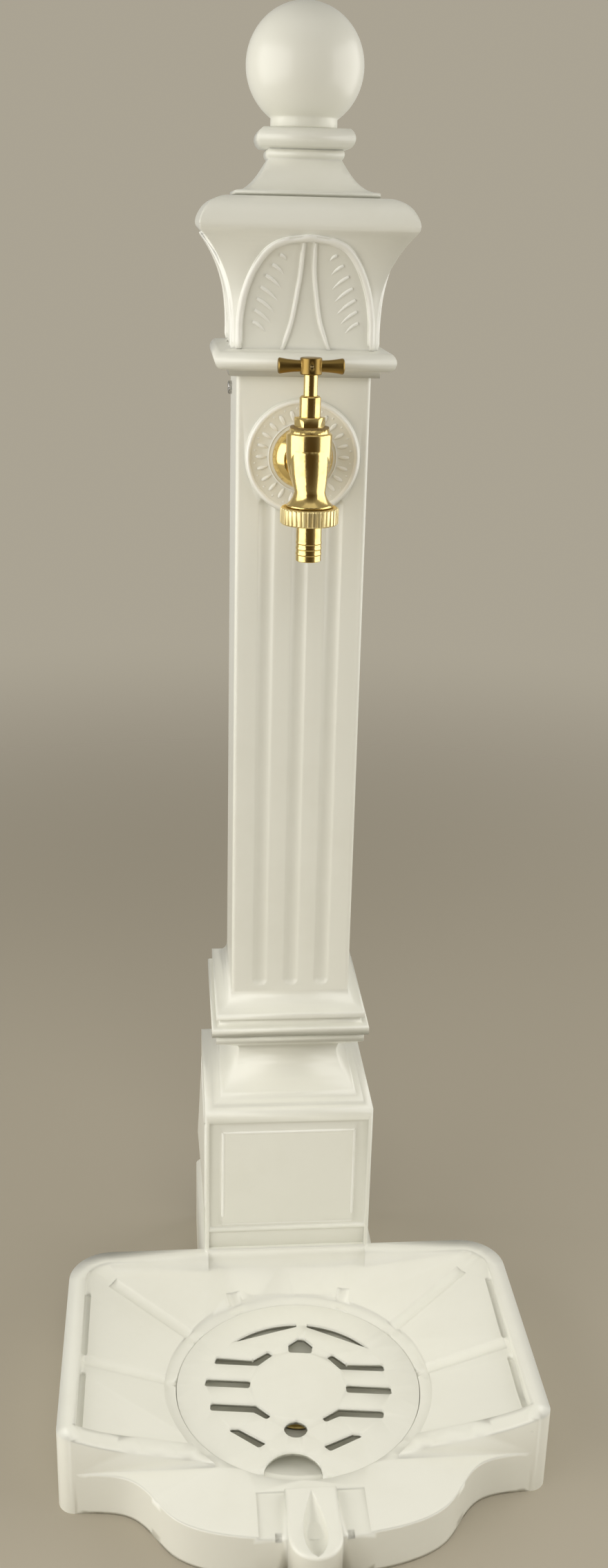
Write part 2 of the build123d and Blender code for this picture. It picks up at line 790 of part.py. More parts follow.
with BuildPart() as panel:
    with BuildSketch(Plane((0, -panel_floor, field_centre), x_dir=(1, 0, 0), z_dir=(0, -1, 0))):
        Rectangle(2 * field_half, field_height)
    with BuildSketch(Plane((0, -pedestal_half, field_centre), x_dir=(1, 0, 0), z_dir=(0, -1, 0))) as field:
        Rectangle(2 * (field_half - panel_bevel_width), field_height - 2 * panel_bevel_width)
    loft()
    apex = Vertex(0, -pedestal_half - panel_point_height, field_centre)
    loft(sections=[field.sketch.faces()[0], apex])
    with BuildSketch(Plane.YZ.offset(-panel_half)):
        with Locations((-panel_floor, plinth_height + panel_bead_height)):
            Circle(panel_bead_radius)
    extrude(amount=2 * panel_half)

pedestal_block = square_moulding(pedestal_outline.sketch)
pedestal_inner = pedestal_half - column_wall - panel_recess_depth
scotia_inner = scotia[-1][0] - column_wall
pedestal_hollow = square_moulding(core_outline([
    (pedestal_inner, plinth_height - cut_overrun),
    (pedestal_inner, die_top - column_wall),
    (scotia_inner, scotia[1][1]),
    (scotia_inner, pedestal_top - pedestal_plate_thickness),
]))
register_half = shaft_half - shaft_wall - casting_fit
register_inner = register_half - shaft_wall
with BuildPart() as pedestal:
    add(pedestal_block)
    for turn in range(0, 360, 90):
        with BuildSketch(Plane((0, 0, plinth_height)).rotated((0, 0, turn))):
            with Locations((0, -pedestal_half)):
                Rectangle(2 * panel_half, 2 * panel_recess_depth)
        extrude(amount=panel_top - plinth_height, mode=Mode.SUBTRACT)
    with PolarLocations(0, 4):
        add(panel.part)
    add(pedestal_hollow, mode=Mode.SUBTRACT)
    with BuildSketch(Plane.XY.offset(pedestal_top)):
        Rectangle(2 * register_half, 2 * register_half)
        Rectangle(2 * register_inner, 2 * register_inner, mode=Mode.SUBTRACT)
    extrude(amount=register_height)
    upright(tie_rod_hole_radius, mould_reach, scotia[-1][1], Mode.SUBTRACT)
    pipe_place = (0, -pipe_setback)
    upright(pipe_radius + pipe_hole_clearance, mould_reach, scotia[-1][1], Mode.SUBTRACT, pipe_place)
finish("pedestal", pedestal.part)

# Shaft: rounded square tube with a moulded foot, flutes and a round medallion
foot_plate_top = pedestal_top + foot_plate_thickness
foot_groove_top = foot_plate_top + foot_groove_height
foot_band_top = foot_groove_top + foot_band_height
foot_cove_top = foot_band_top + foot_cove_height
foot_groove_half = foot_band_half - foot_groove_depth
cove_bend = 1 / math.sqrt(2)
with BuildSketch() as foot_outline:
    with BuildLine():
        Polyline(
            (0, pedestal_top),
            (foot_plate_half, pedestal_top),
            (foot_plate_half, foot_plate_top - foot_plate_chamfer),
            (foot_plate_half - foot_plate_chamfer, foot_plate_top),
            (foot_band_half, foot_plate_top),
        )
        ThreePointArc(
            (foot_band_half, foot_plate_top),
            (foot_groove_half, (foot_plate_top + foot_groove_top) / 2),
            (foot_band_half, foot_groove_top),
        )
        Line((foot_band_half, foot_groove_top), (foot_band_half, foot_band_top))
        ThreePointArc(
            (foot_band_half, foot_band_top),
            (
                foot_band_half - (foot_band_half - shaft_half) * cove_bend,
                foot_cove_top - foot_cove_height * cove_bend,
            ),
            (shaft_half, foot_cove_top),
        )
        Polyline((shaft_half, foot_cove_top), (0, foot_cove_top), (0, pedestal_top))
    make_face()

foot_block = square_moulding(foot_outline.sketch)
flute_radius = ((flute_width / 2) ** 2 + flute_depth**2) / (2 * flute_depth)
flute_foot = pedestal_top + flute_foot_height + flute_width / 2
flute_head = tap_height - rosette_radius + flute_width / 2
with BuildPart() as flute:
    with BuildSketch():
        Circle(flute_radius)
    extrude(amount=flute_head - flute_foot)
    with Locations((0, 0, 0), (0, 0, flute_head - flute_foot)):
        Sphere(flute_radius)

with BuildPart() as rosette:
    with BuildSketch(Plane.YZ):
        with BuildLine():
            Polyline(
                (-shaft_half + shaft_wall / 2, tap_height),
                (-shaft_half - rosette_field_height - rosette_rise, tap_height),
                (-shaft_half - rosette_field_height - rosette_rise, tap_height + flange_radius),
            )
            ThreePointArc(
                (-shaft_half - rosette_field_height - rosette_rise, tap_height + flange_radius),
                (-shaft_half - rosette_field_height, tap_height + (flange_radius + rosette_radius) / 2),
                (-shaft_half - rosette_height, tap_height + rosette_radius - rosette_ring_width),
            )
            Polyline(
                (-shaft_half - rosette_height, tap_height + rosette_radius - rosette_ring_width),
                (-shaft_half - rosette_height, tap_height + rosette_radius),
                (-shaft_half + shaft_wall / 2, tap_height + rosette_radius),
                (-shaft_half + shaft_wall / 2, tap_height),
            )
        make_face()
    revolve(axis=Axis((0, 0, tap_height), (0, 1, 0)))
    chamfer(rosette.edges().filter_by(GeomType.CIRCLE).sort_by(Axis.Y)[:2], length=rosette_rise)

screw_level = shaft_top - screw_drop
with BuildPart() as shaft:
    add(foot_block)
    with BuildSketch(Plane.XY.offset(foot_cove_top)):
        RectangleRounded(2 * shaft_half, 2 * shaft_half, shaft_edge_radius)
    extrude(until=None, amount=shaft_top - foot_cove_top)
    with Locations((0, -shaft_half - flute_radius + flute_depth, flute_foot)):
        with GridLocations(flute_pitch, 0, flute_count, 1):
            add(flute.part, mode=Mode.SUBTRACT)
    add(rosette.part)
    with BuildSketch(Plane.XY.offset(pedestal_top)):
        Rectangle(2 * (shaft_half - shaft_wall), 2 * (shaft_half - shaft_wall))
    extrude(amount=shaft_height, mode=Mode.SUBTRACT)
    with BuildSketch(Plane((0, -shaft_half, tap_height), x_dir=(1, 0, 0), z_dir=(0, -1, 0))):
        Circle(tap_inlet_radius + wall_hole_clearance)
    extrude(amount=2 * shaft_wall, both=True, mode=Mode.SUBTRACT)
    with BuildSketch(Plane((0, screw_back, screw_level), x_dir=(0, 1, 0), z_dir=(1, 0, 0))):
        Circle(screw_radius + fit_gap)
    extrude(amount=mould_reach, both=True, mode=Mode.SUBTRACT)
finish("shaft", shaft.part)

# Capital: astragal, concave bell with an arched leaf on each side, and a heavy roll
with BuildSketch() as capital_outline:
    with BuildLine():
        bell = spread(bell_shares, capital_half, capital_height, shaft_top)
        roll = spread(roll_shares, capital_half, capital_height, shaft_top)
        astragal_level = shaft_top + astragal_foot_height
        astragal_top = astragal_level + astragal_height
        astragal_flat = astragal_half - astragal_height * astragal_nose_share
        astragal_edge = astragal_height * astragal_edge_share
        Polyline(
            (0, shaft_top),
            (astragal_foot_half, shaft_top),
            (astragal_foot_half, astragal_level),
            (astragal_flat, astragal_level + astragal_edge),
        )
        ThreePointArc(
            (astragal_flat, astragal_level + astragal_edge),
            (astragal_half, astragal_level + astragal_height / 2),
            (astragal_flat, astragal_top - astragal_edge),
        )
        Line((astragal_flat, astragal_top - astragal_edge), bell[0])
        ThreePointArc(*bell[:3])
        ThreePointArc(*bell[2:])
        Spline(*roll)
        Polyline(roll[-1], (0, capital_top), (0, shaft_top))
    make_face()


# The bell's outline grown outwards by a relief, to trim what is raised on it.
def bell_relief(relief):
    with BuildSketch() as outline:
        with BuildLine():
            points = [(half + relief, level) for half, level in bell]
            ThreePointArc(*points[:3])
            ThreePointArc(*points[2:])
            Polyline(points[-1], (0, points[-1][1]), (0, points[0][1]), points[0])
        make_face()
    return outline.sketch


arch_foot = shaft_top + arch_foot_share * capital_height
with BuildSketch() as arch:
    with BuildLine():
        arch_points = spread(arch_shares, capital_half, capital_height, shaft_top)
        Polyline(arch_points[0], arch_points[1])
        ThreePointArc(*arch_points[1:4])
        ThreePointArc(arch_points[3], arch_points[4], arch_points[5])
        Line(arch_points[5], arch_points[6])
        Polyline(arch_points[-1], (0, arch_foot), (arch_points[0][0], arch_foot), arch_points[0])
    make_face()
    mirror(about=Plane.YZ)
with BuildSketch() as arch_opening:
    offset(arch.sketch, amount=-arch_rim_width)
with BuildSketch() as ribs:
    with BuildLine() as rib_line:
        Spline(*spread(rib_shares, capital_half, capital_height, shaft_top))
    trace(rib_line.line, line_width=rib_width)
    mirror(about=Plane.YZ)


# Something raised on the bell's four faces: a flat outline trimmed by the grown bell.
def raised_on_bell(outline, relief):
    with BuildPart() as raised:
        with BuildSketch(Plane.XZ):
            add(outline)
        extrude(amount=mould_reach)
    grown = square_moulding(bell_relief(relief))
    with BuildPart() as trimmed:
        add(raised.part)
        add(grown, mode=Mode.INTERSECT)
    return trimmed.part


capital_block = square_moulding(capital_outline.sketch)
with BuildSketch() as arch_rim:
    add(arch.sketch)
    add(arch_opening.sketch, mode=Mode.SUBTRACT)
rim_relief = raised_on_bell(arch_rim.sketch, arch_rim_relief)
rib_relief = raised_on_bell(ribs.sketch, rib_relief_height)
spigot_half = shaft_half - shaft_wall - casting_fit
capital_inner = bell[0][0] - capital_wall
capital_hollow = square_moulding(core_outline([
    (spigot_half - spigot_wall, shaft_top - spigot_depth - cut_overrun),
    (spigot_half - spigot_wall, shaft_top),
    (capital_inner, shaft_top + capital_wall),
    (capital_inner, shaft_top + capital_hollow_share * capital_height),
    (bell[-1][0] - 2 * capital_wall, bell[-1][1]),
    (bell[-1][0] - 2 * capital_wall, capital_top - capital_plate_thickness),
]))
with BuildPart() as capital:
    add(capital_block)
    with PolarLocations(0, 4):
        add(rim_relief)
        add(rib_relief)
    with BuildSketch(Plane.XY.offset(shaft_top - spigot_depth)):
        Rectangle(2 * spigot_half, 2 * spigot_half)
    extrude(amount=spigot_depth)
    add(capital_hollow, mode=Mode.SUBTRACT)
    upright(tie_rod_hole_radius, capital_height, shaft_top, Mode.SUBTRACT)
    with BuildSketch(Plane((0, screw_back, screw_level), x_dir=(0, 1, 0), z_dir=(1, 0, 0))):
        Circle(screw_radius + running_gap)
    extrude(amount=mould_reach, both=True, mode=Mode.SUBTRACT)
finish("capital", capital.part)

# Slotted screws through the shaft's sides into the capital's spigot
with BuildPart() as capital_screws:
    with BuildSketch(Plane((shaft_half, screw_back, screw_level), x_dir=(0, 1, 0), z_dir=(1, 0, 0))):
        Circle(screw_head_radius)
    extrude(amount=screw_head_height)
    fillet(capital_screws.faces().sort_by(Axis.X)[-1].edges(), radius=screw_head_height / 2)
    with BuildSketch(Plane((shaft_half, screw_back, screw_level), x_dir=(0, 1, 0), z_dir=(-1, 0, 0))):
        Circle(screw_radius)
    extrude(amount=screw_length)
    head_face = shaft_half + screw_head_height
    with BuildSketch(Plane((head_face, screw_back, screw_level), x_dir=(0, 1, 0), z_dir=(-1, 0, 0))):
        Rectangle(2 * screw_head_radius, screw_slot_width)
    extrude(amount=screw_slot_depth, mode=Mode.SUBTRACT)
    mirror(about=Plane.YZ)
finish("capital_screws", capital_screws.part)

# Cap: thin plate, concave roof and square collar under the ball
with BuildSketch() as cap_outline:
    with BuildLine():
        cove = spread(cap_cove_shares, cap_plate_half, cap_height, capital_top)
        neck = spread(cap_neck_shares, cap_plate_half, cap_height, capital_top)
        collar = spread(cap_collar_shares, cap_plate_half, cap_height, capital_top)
        Polyline((0, capital_top), (cap_plate_half, capital_top))
        Polyline((cap_plate_half, capital_top), (cap_plate_half, capital_top + cap_plate_thickness), cove[0])
        Spline(*cove)
        ThreePointArc(*neck)
        Line(neck[-1], collar[0])
        ThreePointArc(*collar)
        Polyline(collar[-1], (0, cap_top), (0, capital_top))
    make_face()

cap_block = square_moulding(cap_outline.sketch)
cap_hollow = square_moulding(core_outline([
    (cap_cavity_foot_half, capital_top - cut_overrun),
    (cap_cavity_foot_half, capital_top + cap_plate_thickness / 2),
    (cap_cavity_top_half, capital_top + cap_cavity_height),
    (cap_cavity_top_half, cap_top - cap_roof_thickness),
]))
with BuildPart() as cap:
    add(cap_block)
    add(cap_hollow, mode=Mode.SUBTRACT)
    upright(tie_rod_hole_radius, cap_height, capital_top, Mode.SUBTRACT)
finish("cap", cap.part)

# Ball finial: hollow ball on a small ring, with a tapped boss inside
with BuildPart() as ball_finial:
    upright(ball_ring_radius, ball_ring_height + ball_wall / 2, cap_top)
    fillet(ball_finial.faces().sort_by(Axis.Z)[0].edges(), radius=ball_ring_height * ball_ring_round_share)
    with Locations((0, 0, ball_centre)):
        Sphere(ball_radius)
        Sphere(ball_radius - ball_wall, mode=Mode.SUBTRACT)
    upright(ball_radius, ball_wall, cap_top - ball_wall, Mode.SUBTRACT)
    upright(ball_boss_radius, ball_boss_height, cap_top)
    upright(tie_rod_radius + running_gap, ball_boss_height - ball_wall, cap_top, Mode.SUBTRACT)
finish("ball_finial", ball_finial.part)

# Tie rod from the floor bracket up into the ball, with its nut on the bracket
with BuildPart() as tie_rod:
    upright(tie_rod_radius, cap_top + tie_rod_engagement - tie_rod_foot, tie_rod_foot)
    chamfer(tie_rod.edges(), length=tie_rod_chamfer)
finish("tie_rod", tie_rod.part)

with BuildPart() as tie_rod_nut:
    upright_hexagon(rod_nut_across_flats, rod_nut_thickness, bracket_thickness)
    upright(tie_rod_radius + running_gap, rod_nut_thickness, bracket_thickness, Mode.SUBTRACT)
finish("tie_rod_nut", tie_rod_nut.part)

with BuildPart() as floor_bracket:
    with BuildSketch():
        with Locations((0, (bracket_back - bracket_front) / 2)):
            bracket_depth = bracket_back + bracket_front
            RectangleRounded(2 * bracket_half_length, bracket_depth, bracket_edge_radius)
        with GridLocations(anchor_spacing, 0, 2, 1):
            Circle(anchor_hole_radius, mode=Mode.SUBTRACT)
        Circle(tie_rod_radius + running_gap, mode=Mode.SUBTRACT)
    extrude(amount=bracket_thickness)
finish("floor_bracket", floor_bracket.part)

# Supply pipe up the column and the elbow behind the shaft's front wall
inner_face = shaft_half - shaft_wall
elbow_seat = -inner_face + elbow_seal_thickness
elbow_foot = tap_height - elbow_socket_depth
with BuildPart() as wall_elbow:
    upright(elbow_radius, elbow_socket_depth, elbow_foot, at=pipe_place)
    with Locations((0, -pipe_setback, tap_height)):
        Sphere(elbow_radius)
    with BuildSketch(Plane((0, elbow_seat, tap_height), x_dir=(1, 0, 0), z_dir=(0, 1, 0))):
        Circle(elbow_radius)
    extrude(amount=-elbow_seat - pipe_setback)
    with BuildSketch(Plane((0, elbow_seat, tap_height), x_dir=(1, 0, 0), z_dir=(0, 1, 0))):
        Circle(elbow_flange_radius)
    extrude(amount=elbow_flange_thickness)
    upright(pipe_bore_radius, elbow_socket_depth, elbow_foot, Mode.SUBTRACT, pipe_place)
    upright(pipe_thread_radius + running_gap, pipe_engagement, elbow_foot, Mode.SUBTRACT, pipe_place)
    with BuildSketch(Plane((0, elbow_seat, tap_height), x_dir=(1, 0, 0), z_dir=(0, 1, 0))):
        Circle(tap_inlet_radius + running_gap)
    extrude(amount=tap_inlet_engagement + running_gap, mode=Mode.SUBTRACT)
    with BuildSketch(Plane((0, elbow_seat, tap_height), x_dir=(1, 0, 0), z_dir=(0, 1, 0))):
        Circle(inlet_bore_radius)
    extrude(amount=-elbow_seat - pipe_setback, mode=Mode.SUBTRACT)
finish("wall_elbow", wall_elbow.part)

with BuildPart() as elbow_seal:
    with BuildSketch(Plane((0, -inner_face, tap_height), x_dir=(1, 0, 0), z_dir=(0, 1, 0))):
        Circle(elbow_flange_radius)
        Circle(tap_inlet_radius + wall_hole_clearance, mode=Mode.SUBTRACT)
    extrude(amount=elbow_seal_thickness)
finish("elbow_seal", elbow_seal.part)

with BuildPart() as supply_pipe:
    pipe_thread_top = pipe_foot + pipe_thread_length
    upright(pipe_thread_radius, elbow_foot + pipe_engagement - pipe_foot, pipe_foot, at=pipe_place)
    upright(pipe_radius, elbow_foot - pipe_thread_top, pipe_thread_top, at=pipe_place)
    upright(pipe_bore_radius, elbow_foot + elbow_socket_depth, 0, Mode.SUBTRACT, pipe_place)
finish("supply_pipe", supply_pipe.part)

# Tap: the inlet runs along Y, the spindle stands over the chamber, the outlet hangs forward of it
spindle_place = (0.0, -shaft_half - tap_reach)
outlet_place = (0.0, spindle_place[1] - outlet_forward)
wall_face = -shaft_half - rosette_field_height - rosette_rise
chamber_level = tap_height + chamber_top
seat_top = tap_height + seat_height
outlet_rim_level = tap_height - outlet_rim_drop
outlet_throat_level = tap_height - outlet_throat_drop
coupling_stack = nut_floor + tail_collar_thickness + hose_washer_thickness + 2 * running_gap
outlet_thread_length = nut_height + nut_rim_gap - coupling_stack
outlet_end = outlet_rim_level - outlet_rim_thickness - outlet_thread_length
inlet_end = elbow_seat + tap_inlet_engagement
across = Plane((0, wall_face, tap_height), x_dir=(1, 0, 0), z_dir=(0, -1, 0))
spindle_plane = Plane((*spindle_place, 0), x_dir=(1, 0, 0), z_dir=(0, -1, 0))
outlet_plane = Plane((*outlet_place, 0), x_dir=(1, 0, 0), z_dir=(0, -1, 0))
spindle_axis = Axis((*spindle_place, 0), (0, 0, 1))
outlet_axis = Axis((*outlet_place, 0), (0, 0, 1))

with BuildPart() as tap_body:
    # Round chamber below the spindle
    with BuildSketch(spindle_plane):
        with BuildLine():
            chamber_foot = tap_height - chamber_foot_drop
            neck_level = chamber_level - chamber_cap_height
            shoulder_level = neck_level - chamber_shoulder
            Polyline(
                (0, chamber_foot),
                (0, chamber_level),
                (chamber_cap_radius, chamber_level),
                (chamber_cap_radius, neck_level),
                (chamber_radius - chamber_edge, neck_level),
                (chamber_radius, neck_level - chamber_edge),
                (chamber_radius, shoulder_level),
            )
            ThreePointArc(
                (chamber_radius, shoulder_level),
                (
                    (chamber_radius + chamber_foot_radius) / 2 + chamber_edge,
                    (shoulder_level + chamber_foot) / 2 - chamber_edge,
                ),
                (chamber_foot_radius, chamber_foot),
            )
            Line((chamber_foot_radius, chamber_foot), (0, chamber_foot))
        make_face()
    revolve(axis=spindle_axis)
    # Inlet barrel and its thread through the wall
    with BuildSketch(across):
        Circle(tap_barrel_radius)
    extrude(amount=wall_face - spindle_place[1])
    with BuildSketch(Plane((0, inlet_end, tap_height), x_dir=(1, 0, 0), z_dir=(0, -1, 0))):
        Circle(tap_inlet_radius)
    extrude(amount=inlet_end - spindle_place[1])
    # Curved leg down to the outlet
    with BuildSketch(Plane((0, spindle_place[1] - leg_top_forward, shoulder_level))):
        Circle(leg_top_radius)
    with BuildSketch(Plane((0, spindle_place[1] - leg_mid_forward, (tap_height + outlet_throat_level) / 2))):
        Circle(leg_mid_radius)
    with BuildSketch(Plane((*outlet_place, outlet_throat_level))):
        Circle(outlet_throat_radius)
    loft()
    # Flared rim and the thread under it
    with BuildSketch(outlet_plane):
        with BuildLine():
            Polyline(
                (outlet_throat_radius, outlet_throat_level),
                (0, outlet_throat_level),
                (0, outlet_end),
                (outlet_thread_radius, outlet_end),
                (outlet_thread_radius, outlet_rim_level - outlet_rim_thickness),
                (outlet_rim_radius, outlet_rim_level - outlet_rim_thickness),
                (outlet_rim_radius, outlet_rim_level),
            )
            ThreePointArc(
                (outlet_rim_radius, outlet_rim_level),
                (
                    outlet_throat_radius + (outlet_rim_radius - outlet_throat_radius) * flare_share,
                    (outlet_rim_level + outlet_throat_level) / 2,
                ),
                (outlet_throat_radius, outlet_throat_level),
            )
        make_face()
    revolve(axis=outlet_axis)
    # Waterway: inlet bore, pocket under the seat, chamber over it, and the passage to the outlet
    with BuildSketch(Plane((0, inlet_end, tap_height), x_dir=(1, 0, 0), z_dir=(0, -1, 0))):
        Circle(inlet_bore_radius)
    extrude(amount=inlet_end - spindle_place[1], mode=Mode.SUBTRACT)
    pocket_foot = tap_height - inlet_bore_radius - seat_lip
    upright(seat_pocket_radius, seat_top - pocket_foot, pocket_foot, Mode.SUBTRACT, spindle_place)
    upright(chamber_bore_radius, chamber_top, seat_top - seat_lip, Mode.SUBTRACT, spindle_place)
    with BuildSketch(Plane((*spindle_place, seat_top - seat_lip))):
        Circle(seat_bore_radius + seat_rim_width)
        Circle(seat_bore_radius, mode=Mode.SUBTRACT)
    extrude(amount=seat_lip)
    passage_top = Vector(0, outlet_place[1] + outlet_bore_lean, seat_top + outlet_bore_rise)
    passage_end = Vector(*outlet_place, outlet_end - cut_overrun)
    passage = passage_end - passage_top
    with BuildSketch(Plane(passage_top, z_dir=passage)):
        Circle(outlet_bore_radius)
    extrude(amount=passage.length, mode=Mode.SUBTRACT)
    outlet_counterbore = outlet_rim_level - outlet_rim_thickness
    upright(tail_bore_radius, outlet_counterbore - outlet_end, outlet_end, Mode.SUBTRACT, outlet_place)
finish("tap_body", tap_body.part)

# Bell flange over the hole in the shaft, and the nut that it hides
with BuildPart() as wall_flange:
    with BuildSketch(Plane.YZ):
        with BuildLine():
            bell_end = wall_face - flange_length
            flange_bore = tap_barrel_radius + fit_gap
            rim_out = tap_height + flange_radius
            rim_in = rim_out - flange_wall
            lip_face = wall_face - flange_lip
            bell_turn = wall_face - flange_length * bell_bend_share
            Polyline((wall_face, rim_in), (wall_face, rim_out), (lip_face, rim_out))
            ThreePointArc(
                (lip_face, rim_out),
                (bell_turn, tap_height + flange_radius - flange_wall),
                (bell_end, tap_height + flange_bore + flange_wall),
            )
            Line((bell_end, tap_height + flange_bore + flange_wall), (bell_end, tap_height + flange_bore))
            ThreePointArc(
                (bell_end, tap_height + flange_bore),
                (bell_turn, tap_height + flange_radius - 2 * flange_wall),
                (wall_face, rim_in),
            )
        make_face()
    revolve(axis=Axis((0, 0, tap_height), (0, 1, 0)))
finish("wall_flange", wall_flange.part)

with BuildPart() as back_nut:
    with BuildSketch(across):
        RegularPolygon(back_nut_across_flats / 2, 6, major_radius=False)
        Circle(tap_barrel_radius + running_gap, mode=Mode.SUBTRACT)
    extrude(amount=back_nut_thickness)
finish("back_nut", back_nut.part)

# Headwork: washer, hexagon, shank into the chamber and neck for the gland nut
headwork_level = chamber_level + headwork_washer_thickness
hexagon_top = headwork_level + headwork_hex_height
neck_top = hexagon_top + headwork_neck_height
shank_foot = headwork_level - headwork_shank_length
with BuildPart() as headwork_washer:
    upright(chamber_cap_radius - fit_gap, headwork_washer_thickness, chamber_level, at=spindle_place)
    upright(chamber_bore_radius, headwork_washer_thickness, chamber_level, Mode.SUBTRACT, spindle_place)
finish("headwork_washer", headwork_washer.part)

thread_top = shank_foot + spindle_thread_length + headwork_thread_headroom
with BuildPart() as headwork:
    upright_hexagon(headwork_across_flats, headwork_hex_height, headwork_level, spindle_place)
    upright(chamber_bore_radius - running_gap, headwork_shank_length, shank_foot, at=spindle_place)
    upright(headwork_neck_radius, headwork_neck_height, hexagon_top, at=spindle_place)
    thread_hole = spindle_thread_radius + headwork_thread_clearance
    upright(thread_hole, thread_top - shank_foot, shank_foot, Mode.SUBTRACT, spindle_place)
    neck_hole = spindle_radius + headwork_neck_bore_clearance
    upright(neck_hole, neck_top - shank_foot, shank_foot, Mode.SUBTRACT, spindle_place)
finish("headwork", headwork.part)

# Gland: packing ring on the neck, held down by the chamfered sleeve nut
gland_top = hexagon_top + gland_nut_height
packing_top = neck_top + packing_height
with BuildPart() as gland_packing:
    upright(headwork_neck_radius, packing_height, neck_top, at=spindle_place)
    upright(spindle_radius + running_gap, packing_height, neck_top, Mode.SUBTRACT, spindle_place)
finish("gland_packing", gland_packing.part)

with BuildPart() as gland_nut:
    upright(gland_nut_radius, gland_nut_height, hexagon_top, at=spindle_place)
    chamfer(gland_nut.faces().sort_by(Axis.Z)[-1].edges(), length=gland_nut_chamfer)
    sleeve_hole = headwork_neck_radius + running_gap
    upright(sleeve_hole, packing_top - hexagon_top, hexagon_top, Mode.SUBTRACT, spindle_place)
    upright(neck_hole, gland_nut_height, hexagon_top, Mode.SUBTRACT, spindle_place)
finish("gland_nut", gland_nut.part)

# Jumper: disc on the seat with its stem up inside the spindle and a rubber washer under it
washer_level = seat_top + running_gap
disc_level = washer_level + jumper_washer_thickness
spindle_foot = disc_level + jumper_thickness + running_gap
with BuildPart() as jumper_washer:
    upright(jumper_radius - fit_gap, jumper_washer_thickness, washer_level, at=spindle_place)
    upright(jumper_stud_radius, jumper_washer_thickness, washer_level, Mode.SUBTRACT, spindle_place)
finish("jumper_washer", jumper_washer.part)

with BuildPart() as jumper:
    upright(jumper_radius, jumper_thickness, disc_level, at=spindle_place)
    upright(jumper_stem_radius, jumper_thickness + jumper_stem_length, disc_level, at=spindle_place)
    upright(jumper_stud_radius, jumper_washer_thickness, washer_level, at=spindle_place)
finish("jumper", jumper.part)

# Spindle: threaded foot, round stem and a square for the handle
handle_level = gland_top + handle_bottom_rise
spindle_top = handle_level + handle_hub_height - spindle_top_cover
square_foot = handle_level
with BuildPart() as spindle:
    upright(spindle_thread_radius, shank_foot + spindle_thread_length - spindle_foot, spindle_foot, at=spindle_place)
    upright(spindle_radius, square_foot - spindle_foot, spindle_foot, at=spindle_place)
    with BuildSketch(Plane((*spindle_place, square_foot))):
        Rectangle(2 * spindle_square_half, 2 * spindle_square_half)
    extrude(amount=spindle_top - square_foot)
    stem_hole = jumper_stem_radius + running_gap
    upright(stem_hole, jumper_stem_length + jumper_thickness, spindle_foot, Mode.SUBTRACT, spindle_place)
    pin_level = handle_level + handle_hub_height / 2
    with BuildSketch(Plane((*spindle_place, pin_level), x_dir=(1, 0, 0), z_dir=(0, -1, 0))):
        Circle(handle_pin_radius)
    extrude(amount=handle_hub_radius, both=True, mode=Mode.SUBTRACT)
finish("spindle", spindle.part)

# Tee handle: bar swelling towards its ends, on a round hub
with BuildPart() as tee_handle:
    with BuildSketch(Plane((*spindle_place, pin_level), x_dir=(1, 0, 0), z_dir=(0, -1, 0))):
        with BuildLine():
            half_bar = handle_length / 2
            end_start = half_bar - handle_end_round
            Polyline(
                (half_bar, handle_end_radius - handle_end_round),
                (half_bar, 0),
                (0, 0),
                (0, handle_waist_radius),
                (handle_hub_radius, handle_waist_radius),
            )
            ThreePointArc(
                (handle_hub_radius, handle_waist_radius),
                (handle_bend_share * half_bar, handle_waist_radius + handle_bend_rise),
                (end_start, handle_end_radius),
            )
            RadiusArc(
                (end_start, handle_end_radius),
                (half_bar, handle_end_radius - handle_end_round),
                handle_end_round,
            )
        make_face()
    revolve(axis=Axis((*spindle_place, pin_level), (1, 0, 0)))
    mirror(about=Plane.YZ)
    upright(handle_hub_radius, handle_hub_height, handle_level, at=spindle_place)
    hub_rims = tee_handle.edges().filter_by(GeomType.CIRCLE).group_by(Axis.Z)
    fillet(hub_rims[-1] + hub_rims[0], radius=spindle_top_cover / 2)
    with BuildSketch(Plane((*spindle_place, handle_level))):
        socket_half = spindle_square_half + running_gap
        Rectangle(2 * socket_half, 2 * socket_half)
    extrude(amount=spindle_top - handle_level, mode=Mode.SUBTRACT)
    with BuildSketch(Plane((*spindle_place, pin_level), x_dir=(1, 0, 0), z_dir=(0, -1, 0))):
        Circle(handle_pin_radius)
    extrude(amount=handle_hub_radius, both=True, mode=Mode.SUBTRACT)
finish("tee_handle", tee_handle.part)

with BuildPart() as handle_pin:
    with BuildSketch(Plane((*spindle_place, pin_level), x_dir=(1, 0, 0), z_dir=(0, -1, 0))):
        Circle(handle_pin_radius - running_gap)
    extrude(amount=handle_hub_radius - running_gap, both=True)
finish("handle_pin", handle_pin.part)

# Hose coupling: knurled union nut, collared hose tail and rubber washer
nut_top = outlet_rim_level - outlet_rim_thickness - nut_rim_gap
nut_foot = nut_top - nut_height
collar_foot = nut_foot + nut_floor + running_gap
collar_top = collar_foot + tail_collar_thickness
tail_foot = nut_foot - tail_length
with BuildPart() as union_nut:
    upright(nut_radius, nut_height, nut_foot, at=outlet_place)
    chamfer(union_nut.edges().filter_by(GeomType.CIRCLE), length=nut_chamfer)
    with BuildSketch(Plane((*outlet_place, nut_foot))):
        with PolarLocations(nut_radius, nut_knurl_count):
            Circle(nut_knurl_depth)
    extrude(amount=nut_height, mode=Mode.SUBTRACT)
    thread_hole = outlet_thread_radius + nut_bore_clearance
    upright(thread_hole, nut_height, nut_foot + nut_floor, Mode.SUBTRACT, outlet_place)
    upright(tail_neck_radius + tail_hole_clearance, nut_height, nut_foot, Mode.SUBTRACT, outlet_place)
finish("union_nut", union_nut.part)

